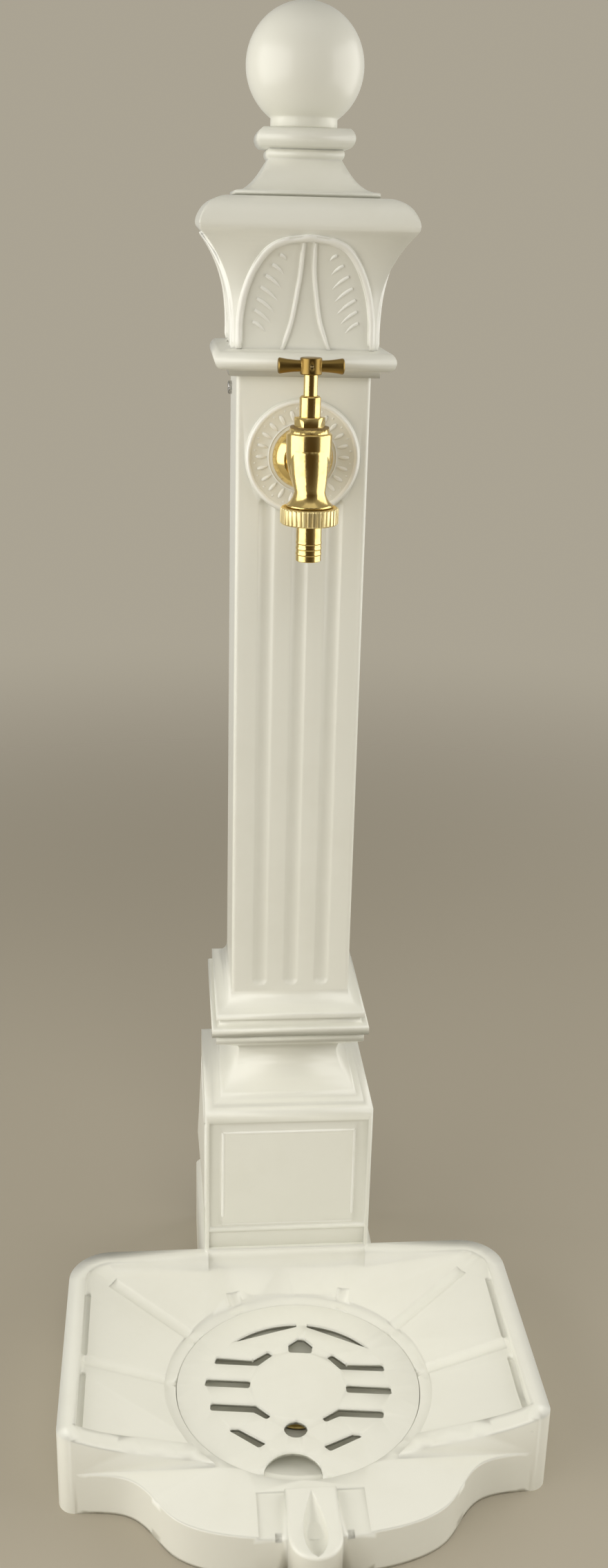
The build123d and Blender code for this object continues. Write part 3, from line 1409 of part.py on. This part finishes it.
with BuildPart() as hose_tail:
    upright(tail_radius, collar_foot - tail_foot, tail_foot, at=outlet_place)
    chamfer(hose_tail.faces().sort_by(Axis.Z)[0].edges(), length=tail_mouth_chamfer)
    tail_neck_foot = nut_foot - tail_neck_drop
    upright(tail_neck_radius, collar_foot - tail_neck_foot, tail_neck_foot, at=outlet_place)
    upright(tail_collar_radius, tail_collar_thickness, collar_foot, at=outlet_place)
    upright(tail_bore_radius, tail_length + nut_height, tail_foot, Mode.SUBTRACT, outlet_place)
finish("hose_tail", hose_tail.part)

washer_bottom = collar_top
with BuildPart() as hose_washer:
    upright(tail_collar_radius, hose_washer_thickness, washer_bottom, at=outlet_place)
    upright(tail_bore_radius, hose_washer_thickness, washer_bottom, Mode.SUBTRACT, outlet_place)
finish("hose_washer", hose_washer.part)

os.makedirs("parts", exist_ok=True)
for name, part in pieces.items():
    export_step(part, f"parts/{name}.step")
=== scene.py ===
import json
import math

import bmesh
import bpy
from mathutils import Matrix, Vector
from mathutils.bvhtree import BVHTree


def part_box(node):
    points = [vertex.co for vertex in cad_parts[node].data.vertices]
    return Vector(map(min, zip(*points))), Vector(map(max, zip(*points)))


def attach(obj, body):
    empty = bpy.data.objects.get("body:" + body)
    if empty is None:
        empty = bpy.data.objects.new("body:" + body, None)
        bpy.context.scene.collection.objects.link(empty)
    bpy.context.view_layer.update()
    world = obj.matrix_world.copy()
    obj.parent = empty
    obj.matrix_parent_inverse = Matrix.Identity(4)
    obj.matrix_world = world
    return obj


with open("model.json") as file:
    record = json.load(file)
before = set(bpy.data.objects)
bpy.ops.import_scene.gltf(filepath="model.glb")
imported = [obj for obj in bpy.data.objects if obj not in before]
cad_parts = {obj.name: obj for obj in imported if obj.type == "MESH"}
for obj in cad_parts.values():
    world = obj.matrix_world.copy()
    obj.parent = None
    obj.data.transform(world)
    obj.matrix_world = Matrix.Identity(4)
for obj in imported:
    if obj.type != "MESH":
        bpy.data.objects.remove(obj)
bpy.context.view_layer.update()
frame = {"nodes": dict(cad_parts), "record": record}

nodes = frame["nodes"]
scene = bpy.context.scene
mm = 0.001
print("frame loaded:", len(nodes), "nodes")


# Shader arithmetic: a socket that adds its own Math nodes
class Flow:
    def __init__(self, graph, socket):
        self.graph = graph
        self.socket = socket

    def __add__(self, other):
        return self.graph.calc("ADD", self, other)

    def __sub__(self, other):
        return self.graph.calc("SUBTRACT", self, other)

    def __rsub__(self, other):
        return self.graph.calc("SUBTRACT", other, self)

    def __mul__(self, other):
        return self.graph.calc("MULTIPLY", self, other)

    __radd__ = __add__
    __rmul__ = __mul__


class Graph:
    def __init__(self, owner):
        owner.use_nodes = True
        self.tree = owner.node_tree
        self.tree.nodes.clear()

    def node(self, kind, settings=None, inputs=None):
        made = self.tree.nodes.new("ShaderNode" + kind)
        for name, value in (settings or {}).items():
            setattr(made, name, value)
        for name, value in (inputs or {}).items():
            if isinstance(value, Flow):
                value = value.socket
            if isinstance(value, bpy.types.NodeSocket):
                self.tree.links.new(value, made.inputs[name])
            elif isinstance(value, tuple) and made.inputs[name].type == "RGBA":
                made.inputs[name].default_value = (*value, 1.0)
            else:
                made.inputs[name].default_value = value
        return made

    def calc(self, operation, first, second):
        return Flow(self, self.node("Math", {"operation": operation}, {0: first, 1: second}).outputs[0])

    def between(self, value, low, high):
        settings = {"interpolation_type": "SMOOTHSTEP"}
        inputs = {"Value": value, "From Min": low, "From Max": high}
        return Flow(self, self.node("MapRange", settings, inputs).outputs[0])

    def blend(self, share, first, second):
        return self.node("Mix", {"data_type": "RGBA"}, {0: share, 6: first, 7: second}).outputs[2]

    def places(self):
        return self.node("TexCoord").outputs["Object"]

    def noise(self, places, scale, detail, roughness):
        inputs = {"Vector": places, "Scale": scale, "Detail": detail, "Roughness": roughness}
        return Flow(self, self.node("TexNoise", None, inputs).outputs[0])

    def rounded(self, radius, samples):
        return self.node("Bevel", {"samples": samples}, {"Radius": radius}).outputs[0]

    def bump(self, height, strength, distance, normal=None):
        inputs = {"Height": height, "Strength": strength, "Distance": distance}
        if normal is not None:
            inputs["Normal"] = normal
        return self.node("Bump", None, inputs).outputs[0]

    def mixShader(self, share, first, second):
        return self.node("MixShader", None, {0: share, 1: first, 2: second}).outputs[0]

    def surface(self, inputs):
        shader = self.node("BsdfPrincipled", None, inputs)
        self.node("OutputMaterial", None, {"Surface": shader.outputs[0]})


# Finishes
def newFinish(name):
    material = bpy.data.materials.new(name)
    graph = Graph(material)
    return material, graph, graph.places()


def castEnamel(name="castEnamel", tint=(0.80, 0.795, 0.715)):
    look = {
        "mottle": (14.0, 4.0, 0.6),         # broad drift of the colour: scale per metre, detail, roughness
        "casting": (60.0, 3.0, 0.55),       # slow waves of the sand casting under the coat
        "peel": (420.0, 2.0, 0.5),          # orange peel of the sprayed coat
        "shade": (0.74, 0.73, 0.64),        # where the enamel is thin or rubbed
        "wornMix": (0.8, 0.2),              # shares of mottle and casting in the wear
        "wornRange": (0.46, 0.70),
        "wornShare": 0.35,
        "edgeTint": (0.94, 0.935, 0.88),    # thin bright line that the light leaves along edges
        "edgeRadius": 1.5 * mm,             # how far the coat rounds an edge
        "edgeRange": (0.01, 0.16),
        "edgeShare": 0.65,
        "castingBump": (0.05, 0.6 * mm),    # strength, depth
        "peelBump": (0.03, 0.1 * mm),
        "roughness": 0.30,
        "castingGloss": 0.10,               # how far casting and wear change the roughness
        "wornGloss": 0.06,
        "coat": 0.25,
        "coatRoughness": 0.30,
    }
    material, graph, places = newFinish(name)
    mottle = graph.noise(places, *look["mottle"])
    casting = graph.noise(places, *look["casting"])
    peel = graph.noise(places, *look["peel"])
    fromMottle, fromCasting = look["wornMix"]
    worn = graph.between(mottle * fromMottle + casting * fromCasting, *look["wornRange"])
    soft = graph.rounded(look["edgeRadius"], 6)
    flat = graph.node("NewGeometry").outputs["Normal"]
    agree = graph.node("VectorMath", {"operation": "DOT_PRODUCT"}, {0: soft, 1: flat}).outputs["Value"]
    edge = graph.between(1.0 - Flow(graph, agree), *look["edgeRange"])
    color = graph.blend(worn * look["wornShare"], tint, look["shade"])
    waves = graph.bump(casting, *look["castingBump"], soft)
    graph.surface({
        "Base Color": graph.blend(edge * look["edgeShare"], color, look["edgeTint"]),
        "Roughness": look["roughness"] + (casting - 0.5) * look["castingGloss"] + worn * look["wornGloss"],
        "Normal": graph.bump(peel, *look["peelBump"], waves),
        "Coat Weight": look["coat"],
        "Coat Roughness": look["coatRoughness"],
    })
    return material


def polishedBrass(name="polishedBrass", axis=(0.0, 0.0, 1.0), polish=0.16, bright=(0.90, 0.68, 0.27)):
    look = {
        "film": (85.0, 5.0, 0.62),          # tarnish: scale per metre, detail, roughness
        "turning": (2600.0, 2.0, 0.5),      # lines left by the lathe, across the axis
        "nicks": (900.0, 3.0, 0.7),
        "stretch": 0.06,                    # length of the turned lines against their breadth
        "dull": (0.26, 0.165, 0.045),       # brown film of handled brass
        "filmRange": (0.46, 0.70),
        "filmShare": 0.25,
        "filmGloss": 0.10,                  # how far film and nicks change the roughness
        "nickGloss": 0.08,
        "turningBump": (0.05, 0.06 * mm),   # strength, depth
        "edgeRadius": 0.25 * mm,
    }
    material, graph, places = newFinish(name)
    film = graph.between(graph.noise(places, *look["film"]), *look["filmRange"])
    stretch = tuple(1.0 if along else look["stretch"] for along in axis)
    drawn = graph.node("VectorMath", {"operation": "MULTIPLY"}, {0: places, 1: stretch}).outputs[0]
    turned = graph.noise(drawn, *look["turning"])
    nicks = graph.noise(places, *look["nicks"])
    graph.surface({
        "Base Color": graph.blend(film * look["filmShare"], bright, look["dull"]),
        "Metallic": 1.0,
        "Roughness": polish + film * look["filmGloss"] + (nicks - 0.5) * look["nickGloss"],
        "Normal": graph.bump(turned, *look["turningBump"], graph.rounded(look["edgeRadius"], 4)),
    })
    return material


def galvanisedSteel(name="galvanisedSteel", color=(0.56, 0.58, 0.60), spangle=160.0, roughness=0.38):
    look = {
        "dirt": (spangle / 4, 4.0, 0.6),    # scale per metre, detail, roughness
        "darkShare": 0.72,
        "mix": (0.6, 0.4),                  # shares of spangle and dirt in the colour
        "spangleGloss": 0.15,
        "dirtBump": (0.12, 0.2 * mm),       # strength, depth
    }
    material, graph, places = newFinish(name)
    cells = graph.node("TexVoronoi", None, {"Vector": places, "Scale": spangle}).outputs["Color"]
    grey = Flow(graph, graph.node("RGBToBW", None, {"Color": cells}).outputs[0])
    dirt = graph.noise(places, *look["dirt"])
    dark = tuple(part * look["darkShare"] for part in color)
    fromSpangle, fromDirt = look["mix"]
    graph.surface({
        "Base Color": graph.blend(grey * fromSpangle + dirt * fromDirt, dark, color),
        "Metallic": 0.9,
        "Roughness": roughness + (grey - 0.5) * look["spangleGloss"],
        "Normal": graph.bump(dirt, *look["dirtBump"]),
    })
    return material


def mouldedSeal(name, color, scale=700.0, roughness=0.75):
    look = {
        "grain": (scale, 3.0, 0.6),         # scale per metre, detail, roughness
        "grainRange": (0.35, 0.65),
        "lightShare": 1.5,
        "grainGloss": 0.2,
        "grainBump": (0.25, 0.15 * mm),     # strength, depth
    }
    material, graph, places = newFinish(name)
    grain = graph.noise(places, *look["grain"])
    light = tuple(part * look["lightShare"] for part in color)
    graph.surface({
        "Base Color": graph.blend(graph.between(grain, *look["grainRange"]), color, light),
        "Roughness": roughness + (grain - 0.5) * look["grainGloss"],
        "Normal": graph.bump(grain, *look["grainBump"]),
    })
    return material


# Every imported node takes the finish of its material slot, but for these few
finishes = {
    "cast_enamel": castEnamel(),
    "polished_brass": polishedBrass(),
    "galvanised_steel": galvanisedSteel(),
    "stainless_steel": galvanisedSteel("stainlessSteel", (0.50, 0.49, 0.47), 900.0, 0.30),
    "black_rubber": mouldedSeal("blackRubber", (0.025, 0.025, 0.026)),
    "red_fibre": mouldedSeal("redFibre", (0.30, 0.075, 0.045)),
}
ownFinish = {
    # the handle's brass is painted darker, a painted shade for the dark room its bar reflects, on top of its
    # tarnish film
    "tee_handle": polishedBrass("paintedShadeHandleBrass", (1.0, 0.0, 0.0), 0.34, (0.30, 0.20, 0.06)),
    # the union nut's brass is painted lighter, a painted sheen for the glint of its knurl
    "union_nut": polishedBrass("paintedSheenKnurledBrass", polish=0.40, bright=(0.97, 0.82, 0.44)),
    "headwork_washer": mouldedSeal("oiledFibre", (0.17, 0.11, 0.035), 900.0, 0.5),
    "handle_pin": galvanisedSteel("filmedPin", (0.30, 0.22, 0.10), 1400.0, 0.34),
}
paintedHighlightEnamel = castEnamel("paintedHighlightEnamel", (0.90, 0.895, 0.835))     # raised lines painted lighter, a painted highlight where the ridges catch the light
print("finishes made:", len(bpy.data.materials))


def dressNode(part):
    shell = nodes[part["node"]]
    shell.data.materials.clear()
    shell.data.materials.append(ownFinish.get(part["node"], finishes[part["material_slot"]]))
    shell.data.shade_smooth()
    weld = shell.modifiers.new("weld", "WELD")      # joins the seams between faces
    weld.merge_threshold = 0.002 * mm
    weighted = shell.modifiers.new("weighted", "WEIGHTED_NORMAL")
    weighted.keep_sharp = True


for part in frame["record"]["subparts"]:
    dressNode(part)


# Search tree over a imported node's own surface
def surfaceOf(name):
    mesh = nodes[name].data
    return BVHTree.FromPolygons([corner.co.copy() for corner in mesh.vertices],
                                [tuple(face.vertices) for face in mesh.polygons])


# The four sides of the column, as turns about its axis
def fourSides():
    return [Matrix.Rotation(quarter * math.pi / 2, 3, "Z") for quarter in range(4)]


# A raised stroke laid on a surface that faces the front before it is turned about the column
stroke = {
    "across": (-0.5, -0.3, 0.0, 0.3, 0.5),      # places over its width
    "swell": (0.0, 0.72, 1.0, 0.72, 0.0),       # share of its height at each
    "sink": 0.3 * mm,                           # how deep its edges lie under the surface
    "start": 250.0 * mm,                        # how far out the surface is looked for
}


def layStroke(shape, tree, turn, path, widths, heights):
    outward = turn @ Vector((0.0, -1.0, 0.0))
    rows = []
    for index, (x, z) in enumerate(path):
        before, after = path[max(index - 1, 0)], path[min(index + 1, len(path) - 1)]
        run = Vector((after[0] - before[0], after[1] - before[1])).normalized()
        row = []
        for share, rise in zip(stroke["across"], stroke["swell"]):
            wide = share * widths[index]
            aim = turn @ Vector((x - run.y * wide, -stroke["start"], z + run.x * wide))
            place = tree.ray_cast(aim, -outward)[0]
            row.append(place + outward * (heights[index] * rise - stroke["sink"]))
        rows.append([shape.verts.new(place) for place in row])
    for lower, upper in zip(rows[:-1], rows[1:]):
        for column in range(len(row) - 1):
            shape.faces.new((lower[column], lower[column + 1], upper[column + 1], upper[column]))


# Rise and fall along a stroke, with blunt ends
def bulge(along, ends, fullness):
    return math.sin(math.pi * (ends + (1.0 - 2 * ends) * along)) ** fullness


def pieceFrom(shape, name, material, body):
    bmesh.ops.recalc_face_normals(shape, faces=shape.faces)
    mesh = bpy.data.meshes.new(name)
    shape.to_mesh(mesh)
    shape.free()
    mesh.shade_smooth()
    mesh.materials.append(material)
    piece = bpy.data.objects.new(name, mesh)
    scene.collection.objects.link(piece)
    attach(piece, body)
    print(name, "made:", len(mesh.polygons), "faces")


# The bell between its spigot and its top carries the leaves
bell = {
    "spigot": 30.0 * mm,
    "height": 111.4 * mm,
}


def onBell(level):
    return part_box("capital")[0][2] + bell["spigot"] + level * bell["height"]


# Veins cast on both halves of the leaf, on each side of the capital
leafVeins = {
    "edge": ((0.20, 38.5), (0.33, 38.0), (0.47, 35.0), (0.60, 29.0), (0.70, 20.5)),     # level, mm out
    "levels": (0.31, 0.375, 0.44, 0.505, 0.57, 0.63, 0.685),
    "lengths": (11.0, 14.0, 15.5, 15.0, 13.5, 10.0, 6.0),       # mm
    "fall": 38.0,               # degrees below level, towards the middle
    "sag": 0.9 * mm,
    "margin": 3.4 * mm,         # from the arch
    "width": 3.1 * mm,
    "height": 1.8 * mm,
    "lift": 0.15 * mm,          # least height over its sunk edges
    "swell": (0.12, 0.9, 0.6),  # where it starts, how far it runs, how full it is
    "thinShare": 0.35,          # width left at the ends
    "taper": 0.45,              # lost width and height at the inner end
    "fade": 0.35,
    "samples": 9,
}


def leafEdge(level):
    for (low, outer), (high, inner) in zip(leafVeins["edge"][:-1], leafVeins["edge"][1:]):
        if level <= high:
            share = (level - low) / (high - low)
            return (outer + (inner - outer) * share) * mm


def veinRun(side, level, length):
    start, span, fullness = leafVeins["swell"]
    fall = math.radians(leafVeins["fall"])
    thin = leafVeins["thinShare"]
    path, widths, heights = [], [], []
    for step in range(leafVeins["samples"]):
        along = step / (leafVeins["samples"] - 1)
        run = along * length * mm
        x = leafEdge(level) - leafVeins["margin"] - run * math.cos(fall)
        z = onBell(level) - run * math.sin(fall) + leafVeins["sag"] * math.sin(math.pi * along)
        swell = math.sin(math.pi * min(1.0, start + span * along)) ** fullness
        path.append((side * x, z))
        widths.append(leafVeins["width"] * (thin + (1.0 - thin) * swell) * (1.0 - leafVeins["taper"] * along))
        heights.append(leafVeins["height"] * swell * (1.0 - leafVeins["fade"] * along) + leafVeins["lift"])
    return path, widths, heights


def makeVeins():
    tree = surfaceOf("capital")
    shape = bmesh.new()
    for turn in fourSides():
        for side in (-1.0, 1.0):
            for level, length in zip(leafVeins["levels"], leafVeins["lengths"]):
                layStroke(shape, tree, turn, *veinRun(side, level, length))
    pieceFrom(shape, "leafVeins", paintedHighlightEnamel, "standpipe")


# Rounded crest on the arch and on both ribs of each leaf
leafCrests = {
    "arch": ((43.8, 0.165), (43.6, 0.23), (43.2, 0.333), (40.5, 0.468), (34.9, 0.598), (26.5, 0.706),
             (16.3, 0.757), (0.0, 0.778)),      # mm out, share of height
    "rib": ((15.6, 0.155), (9.45, 0.31), (5.75, 0.50), (4.2, 0.62), (3.75, 0.755)),
    "archSize": (5.0 * mm, 1.3 * mm),           # width, height
    "ribSize": (3.2 * mm, 1.0 * mm),
    "endShare": 0.35,                           # size left at the ends
    "growth": 0.2,                              # gained at each step from them
    "samples": 6,                               # steps between two points
}


# A smooth run through a few chosen points
def smoothRun(points, samples):
    run = []
    last = len(points) - 1
    for index in range(last):
        around = (max(index - 1, 0), index, index + 1, min(index + 2, last))
        before, start, end, after = [Vector(points[place]) for place in around]
        for step in range(samples):
            share = step / samples
            run.append((start * 2 + (end - before) * share
                        + (before * 2 - start * 5 + end * 4 - after) * share ** 2
                        + (start * 3 - before - end * 3 + after) * share ** 3) / 2)
    return run + [Vector(points[-1])]


def makeCrests():
    tree = surfaceOf("capital")
    shape = bmesh.new()
    farHalf = tuple((-out, level) for out, level in reversed(leafCrests["arch"][:-1]))
    lines = [(leafCrests["arch"] + farHalf, leafCrests["archSize"])]
    for side in (-1.0, 1.0):
        lines.append((tuple((side * out, level) for out, level in leafCrests["rib"]), leafCrests["ribSize"]))
    for turn in fourSides():
        for points, (width, height) in lines:
            path = [(spot.x * mm, onBell(spot.y)) for spot in smoothRun(points, leafCrests["samples"])]
            steps = [min(step, len(path) - 1 - step) for step in range(len(path))]
            sizes = [min(1.0, leafCrests["endShare"] + leafCrests["growth"] * step) for step in steps]
            widths = [width * size for size in sizes]
            heights = [height * size for size in sizes]
            layStroke(shape, tree, turn, path, widths, heights)
    pieceFrom(shape, "leafCrests", paintedHighlightEnamel, "standpipe")


# Petals, beads and two round lines on the medallion behind the tap
medallion = {
    "middle": 692.5 * mm,
    "petals": 24,
    "petalFrom": 24.4 * mm,
    "petalTo": 31.6 * mm,
    "petalSize": (3.6 * mm, 1.7 * mm),      # width, height
    "petalEnds": (0.06, 0.55),              # how blunt, how full
    "petalFoot": 0.62,                      # share of the width at the inner end
    "petalSteps": 9,
    "beadPlace": 32.6 * mm,
    "beadSize": (1.7 * mm, 0.6 * mm),
    "beadEnds": (0.04, 0.5),
    "beadSteps": 7,
    "lines": ((22.9 * mm, 1.1 * mm, 0.9 * mm), (36.6 * mm, 3.4 * mm, 1.5 * mm)),   # radius, width, height
    "lineSteps": 96,
}


def spoke(angle, reach):
    return (reach * math.sin(angle), medallion["middle"] + reach * math.cos(angle))


def petalRun(angle):
    width, height = medallion["petalSize"]
    foot = medallion["petalFoot"]
    inner, outer = medallion["petalFrom"], medallion["petalTo"]
    path, widths, heights = [], [], []
    for step in range(medallion["petalSteps"]):
        along = step / (medallion["petalSteps"] - 1)
        swell = bulge(along, *medallion["petalEnds"])
        path.append(spoke(angle, inner + (outer - inner) * along))
        widths.append(width * swell * (foot + (1.0 - foot) * along))
        heights.append(height * swell + stroke["sink"])
    return path, widths, heights


def beadRun(angle):
    width, height = medallion["beadSize"]
    path, widths, heights = [], [], []
    for step in range(medallion["beadSteps"]):
        along = step / (medallion["beadSteps"] - 1)
        swell = bulge(along, *medallion["beadEnds"])
        path.append(spoke(angle, medallion["beadPlace"] + width * (along - 0.5)))
        widths.append(width * swell)
        heights.append(height * swell + stroke["sink"])
    return path, widths, heights


def makeMedallion():
    tree = surfaceOf("shaft")
    front = fourSides()[0]
    shape = bmesh.new()
    pitch = 2 * math.pi / medallion["petals"]
    for index in range(medallion["petals"]):
        layStroke(shape, tree, front, *petalRun(index * pitch))
        layStroke(shape, tree, front, *beadRun((index + 0.5) * pitch))
    for radius, width, height in medallion["lines"]:
        angles = [2 * math.pi * step / medallion["lineSteps"] for step in range(medallion["lineSteps"] + 1)]
        path = [spoke(angle, radius) for angle in angles]
        layStroke(shape, tree, front, path, [width] * len(path), [height + stroke["sink"]] * len(path))
    pieceFrom(shape, "medallionRing", paintedHighlightEnamel, "standpipe")


# Bead along the edge of the raised panel, on each side of the pedestal
panelBead = {
    "reach": 51.6 * mm,
    "levels": (88.0 * mm, 174.5 * mm),
    "size": (2.8 * mm, 0.9 * mm),       # width, height
    "samples": 9,
}


def makePanelBeads():
    tree = surfaceOf("pedestal")
    shape = bmesh.new()
    low, high = panelBead["levels"]
    reach = panelBead["reach"]
    width, height = panelBead["size"]
    count = panelBead["samples"]
    corners = [Vector(corner) for corner in ((-reach, low), (reach, low), (reach, high), (-reach, high))]
    for turn in fourSides():
        for start, end in zip(corners, corners[1:] + corners[:1]):
            path = [tuple(start.lerp(end, step / (count - 1))) for step in range(count)]
            layStroke(shape, tree, turn, path, [width] * count, [height] * count)
    pieceFrom(shape, "panelBeads", paintedHighlightEnamel, "standpipe")


# Shallow rings turned on the hose tail
tailRing = {
    "levels": (639.6 * mm, 643.2 * mm, 646.8 * mm),
    "axis": (0.0, -106.0 * mm),
    "radius": 8.25 * mm,
    "rise": 0.22 * mm,
    "length": 2.2 * mm,
    "profile": ((-0.5, -0.25), (-0.42, 0.25), (-0.22, 0.9),
                (0.0, 1.0), (0.3, 0.45), (0.5, -0.25)),     # share of the length, share of the rise
    "around": 72,
}


def ringAt(shape, level, along, rise):
    radius = tailRing["radius"] + tailRing["rise"] * rise
    height = level + tailRing["length"] * along
    midX, midY = tailRing["axis"]
    spots = []
    for step in range(tailRing["around"]):
        angle = 2 * math.pi * step / tailRing["around"]
        place = (midX + radius * math.cos(angle), midY + radius * math.sin(angle), height)
        spots.append(shape.verts.new(place))
    return spots


def makeTailRings():
    shape = bmesh.new()
    for level in tailRing["levels"]:
        rings = [ringAt(shape, level, along, rise) for along, rise in tailRing["profile"]]
        for lower, upper in zip(rings[:-1], rings[1:]):
            for step in range(tailRing["around"]):
                after = (step + 1) % tailRing["around"]
                shape.faces.new((lower[step], lower[after], upper[after], upper[step]))
    pieceFrom(shape, "tailRings", finishes["polished_brass"], "hose_tail")


makeVeins()
makeCrests()
makeMedallion()
makePanelBeads()
makeTailRings()
print("ornament laid")


# Floor, fading into the plain backdrop
floorSet = {
    "radius": 7.0,
    "sides": 96,
    "color": (0.40, 0.36, 0.285),
    "roughness": 0.8,
    "fade": (0.65, 2.1),                # distances where the fading starts and ends
    "backdrop": (0.405, 0.368, 0.292),
}


def makeFloor():
    mesh = bpy.data.meshes.new("floor")
    shape = bmesh.new()
    bmesh.ops.create_circle(shape, cap_ends=True, segments=floorSet["sides"], radius=floorSet["radius"])
    shape.to_mesh(mesh)
    shape.free()
    floor = bpy.data.objects.new("floor", mesh)
    scene.collection.objects.link(floor)
    material, graph, places = newFinish("paleFloor")
    away = Flow(graph, graph.node("VectorMath", {"operation": "LENGTH"}, {0: places}).outputs["Value"])
    look = {"Base Color": floorSet["color"], "Roughness": floorSet["roughness"]}
    matt = graph.node("BsdfPrincipled", None, look)
    clear = graph.node("BsdfTransparent")
    mixed = graph.mixShader(graph.between(away, *floorSet["fade"]), matt.outputs[0], clear.outputs[0])
    graph.node("OutputMaterial", None, {"Surface": mixed})
    mesh.materials.append(material)


# The room round the part, each area with its colour and strength
room = {
    "walls": ((1.0, 0.965, 0.88), 0.38),
    "ceiling": ((1.0, 0.965, 0.88), 0.34),
    "front": ((1.0, 0.70, 0.34), 0.07),         # dim room behind the camera
    "ceilingFrom": (0.0, 0.9),
    "frontFrom": (0.35, 0.95),
}


def makeWorld():
    world = bpy.data.worlds.new("studio")
    scene.world = world
    graph = Graph(world)

    def glow(color, strength):
        return graph.node("Background", None, {"Color": color, "Strength": strength}).outputs[0]

    toward = graph.node("SeparateXYZ", None, {0: graph.node("TexCoord").outputs["Generated"]})
    front = graph.between(Flow(graph, toward.outputs["Y"]) * -1.0, *room["frontFrom"])
    up = graph.between(Flow(graph, toward.outputs["Z"]), *room["ceilingFrom"])
    around = graph.mixShader(up, glow(*room["walls"]), glow(*room["ceiling"]))
    light = graph.mixShader(front, around, glow(*room["front"]))
    direct = graph.node("LightPath").outputs["Is Camera Ray"]
    mixed = graph.mixShader(direct, light, glow(floorSet["backdrop"], 1.0))
    graph.node("OutputWorld", None, {"Surface": mixed})


# Soft panels: where each stands, where it faces, its width, height, power and spread in degrees
softPanels = {
    "leftPanel": ((-1.42, -0.60, 0.90), (0.0, -0.05, 0.70), 2.30, 1.60, 25.0, 180.0),
    "rightPanel": ((1.50, -0.10, 0.90), (0.0, -0.05, 0.70), 2.20, 1.60, 21.0, 180.0),
    "topPanel": ((0.0, -0.55, 2.60), (0.0, -0.15, 0.0), 1.60, 1.30, 2.2, 180.0),
    "frontFill": ((-0.25, -1.95, 1.10), (0.0, -0.10, 0.30), 1.40, 1.40, 5.0, 180.0),
    "trayFill": ((0.0, -1.30, 1.60), (0.0, -0.24, 0.0), 0.90, 0.60, 0.8, 60.0),
}
panelColor = (1.0, 0.985, 0.94)


def makePanel(name, place, target, width, height, power, spread):
    light = bpy.data.lights.new(name, "AREA")
    light.shape = "RECTANGLE"
    light.size = width
    light.size_y = height
    light.energy = power
    light.spread = math.radians(spread)
    light.color = panelColor
    holder = bpy.data.objects.new(name, light)
    holder.location = place
    holder.rotation_euler = (Vector(target) - Vector(place)).to_track_quat("-Z", "Y").to_euler()
    holder.visible_glossy = not name.endswith("Fill")       # the brass keeps its dark middle
    scene.collection.objects.link(holder)


cameraSet = {
    "place": (-0.0922, -1.0829, 0.8421),
    "turn": (69.70, -1.343, -4.947),    # degrees
    "focal": 34.94,                     # mm, on a sensor as long as the picture's long side
    "sensor": 36.0,
    "near": 0.05,
}


def makeCamera():
    lens = bpy.data.cameras.new("camera")
    lens.lens = cameraSet["focal"]
    lens.sensor_width = cameraSet["sensor"]
    lens.clip_start = cameraSet["near"]
    camera = bpy.data.objects.new("camera", lens)
    camera.location = cameraSet["place"]
    camera.rotation_euler = [math.radians(angle) for angle in cameraSet["turn"]]
    scene.collection.objects.link(camera)
    scene.camera = camera


makeFloor()
makeWorld()
for name, panel in softPanels.items():
    makePanel(name, *panel)
makeCamera()
scene.view_settings.view_transform = "Standard"
print("studio set:", len(softPanels), "panels")
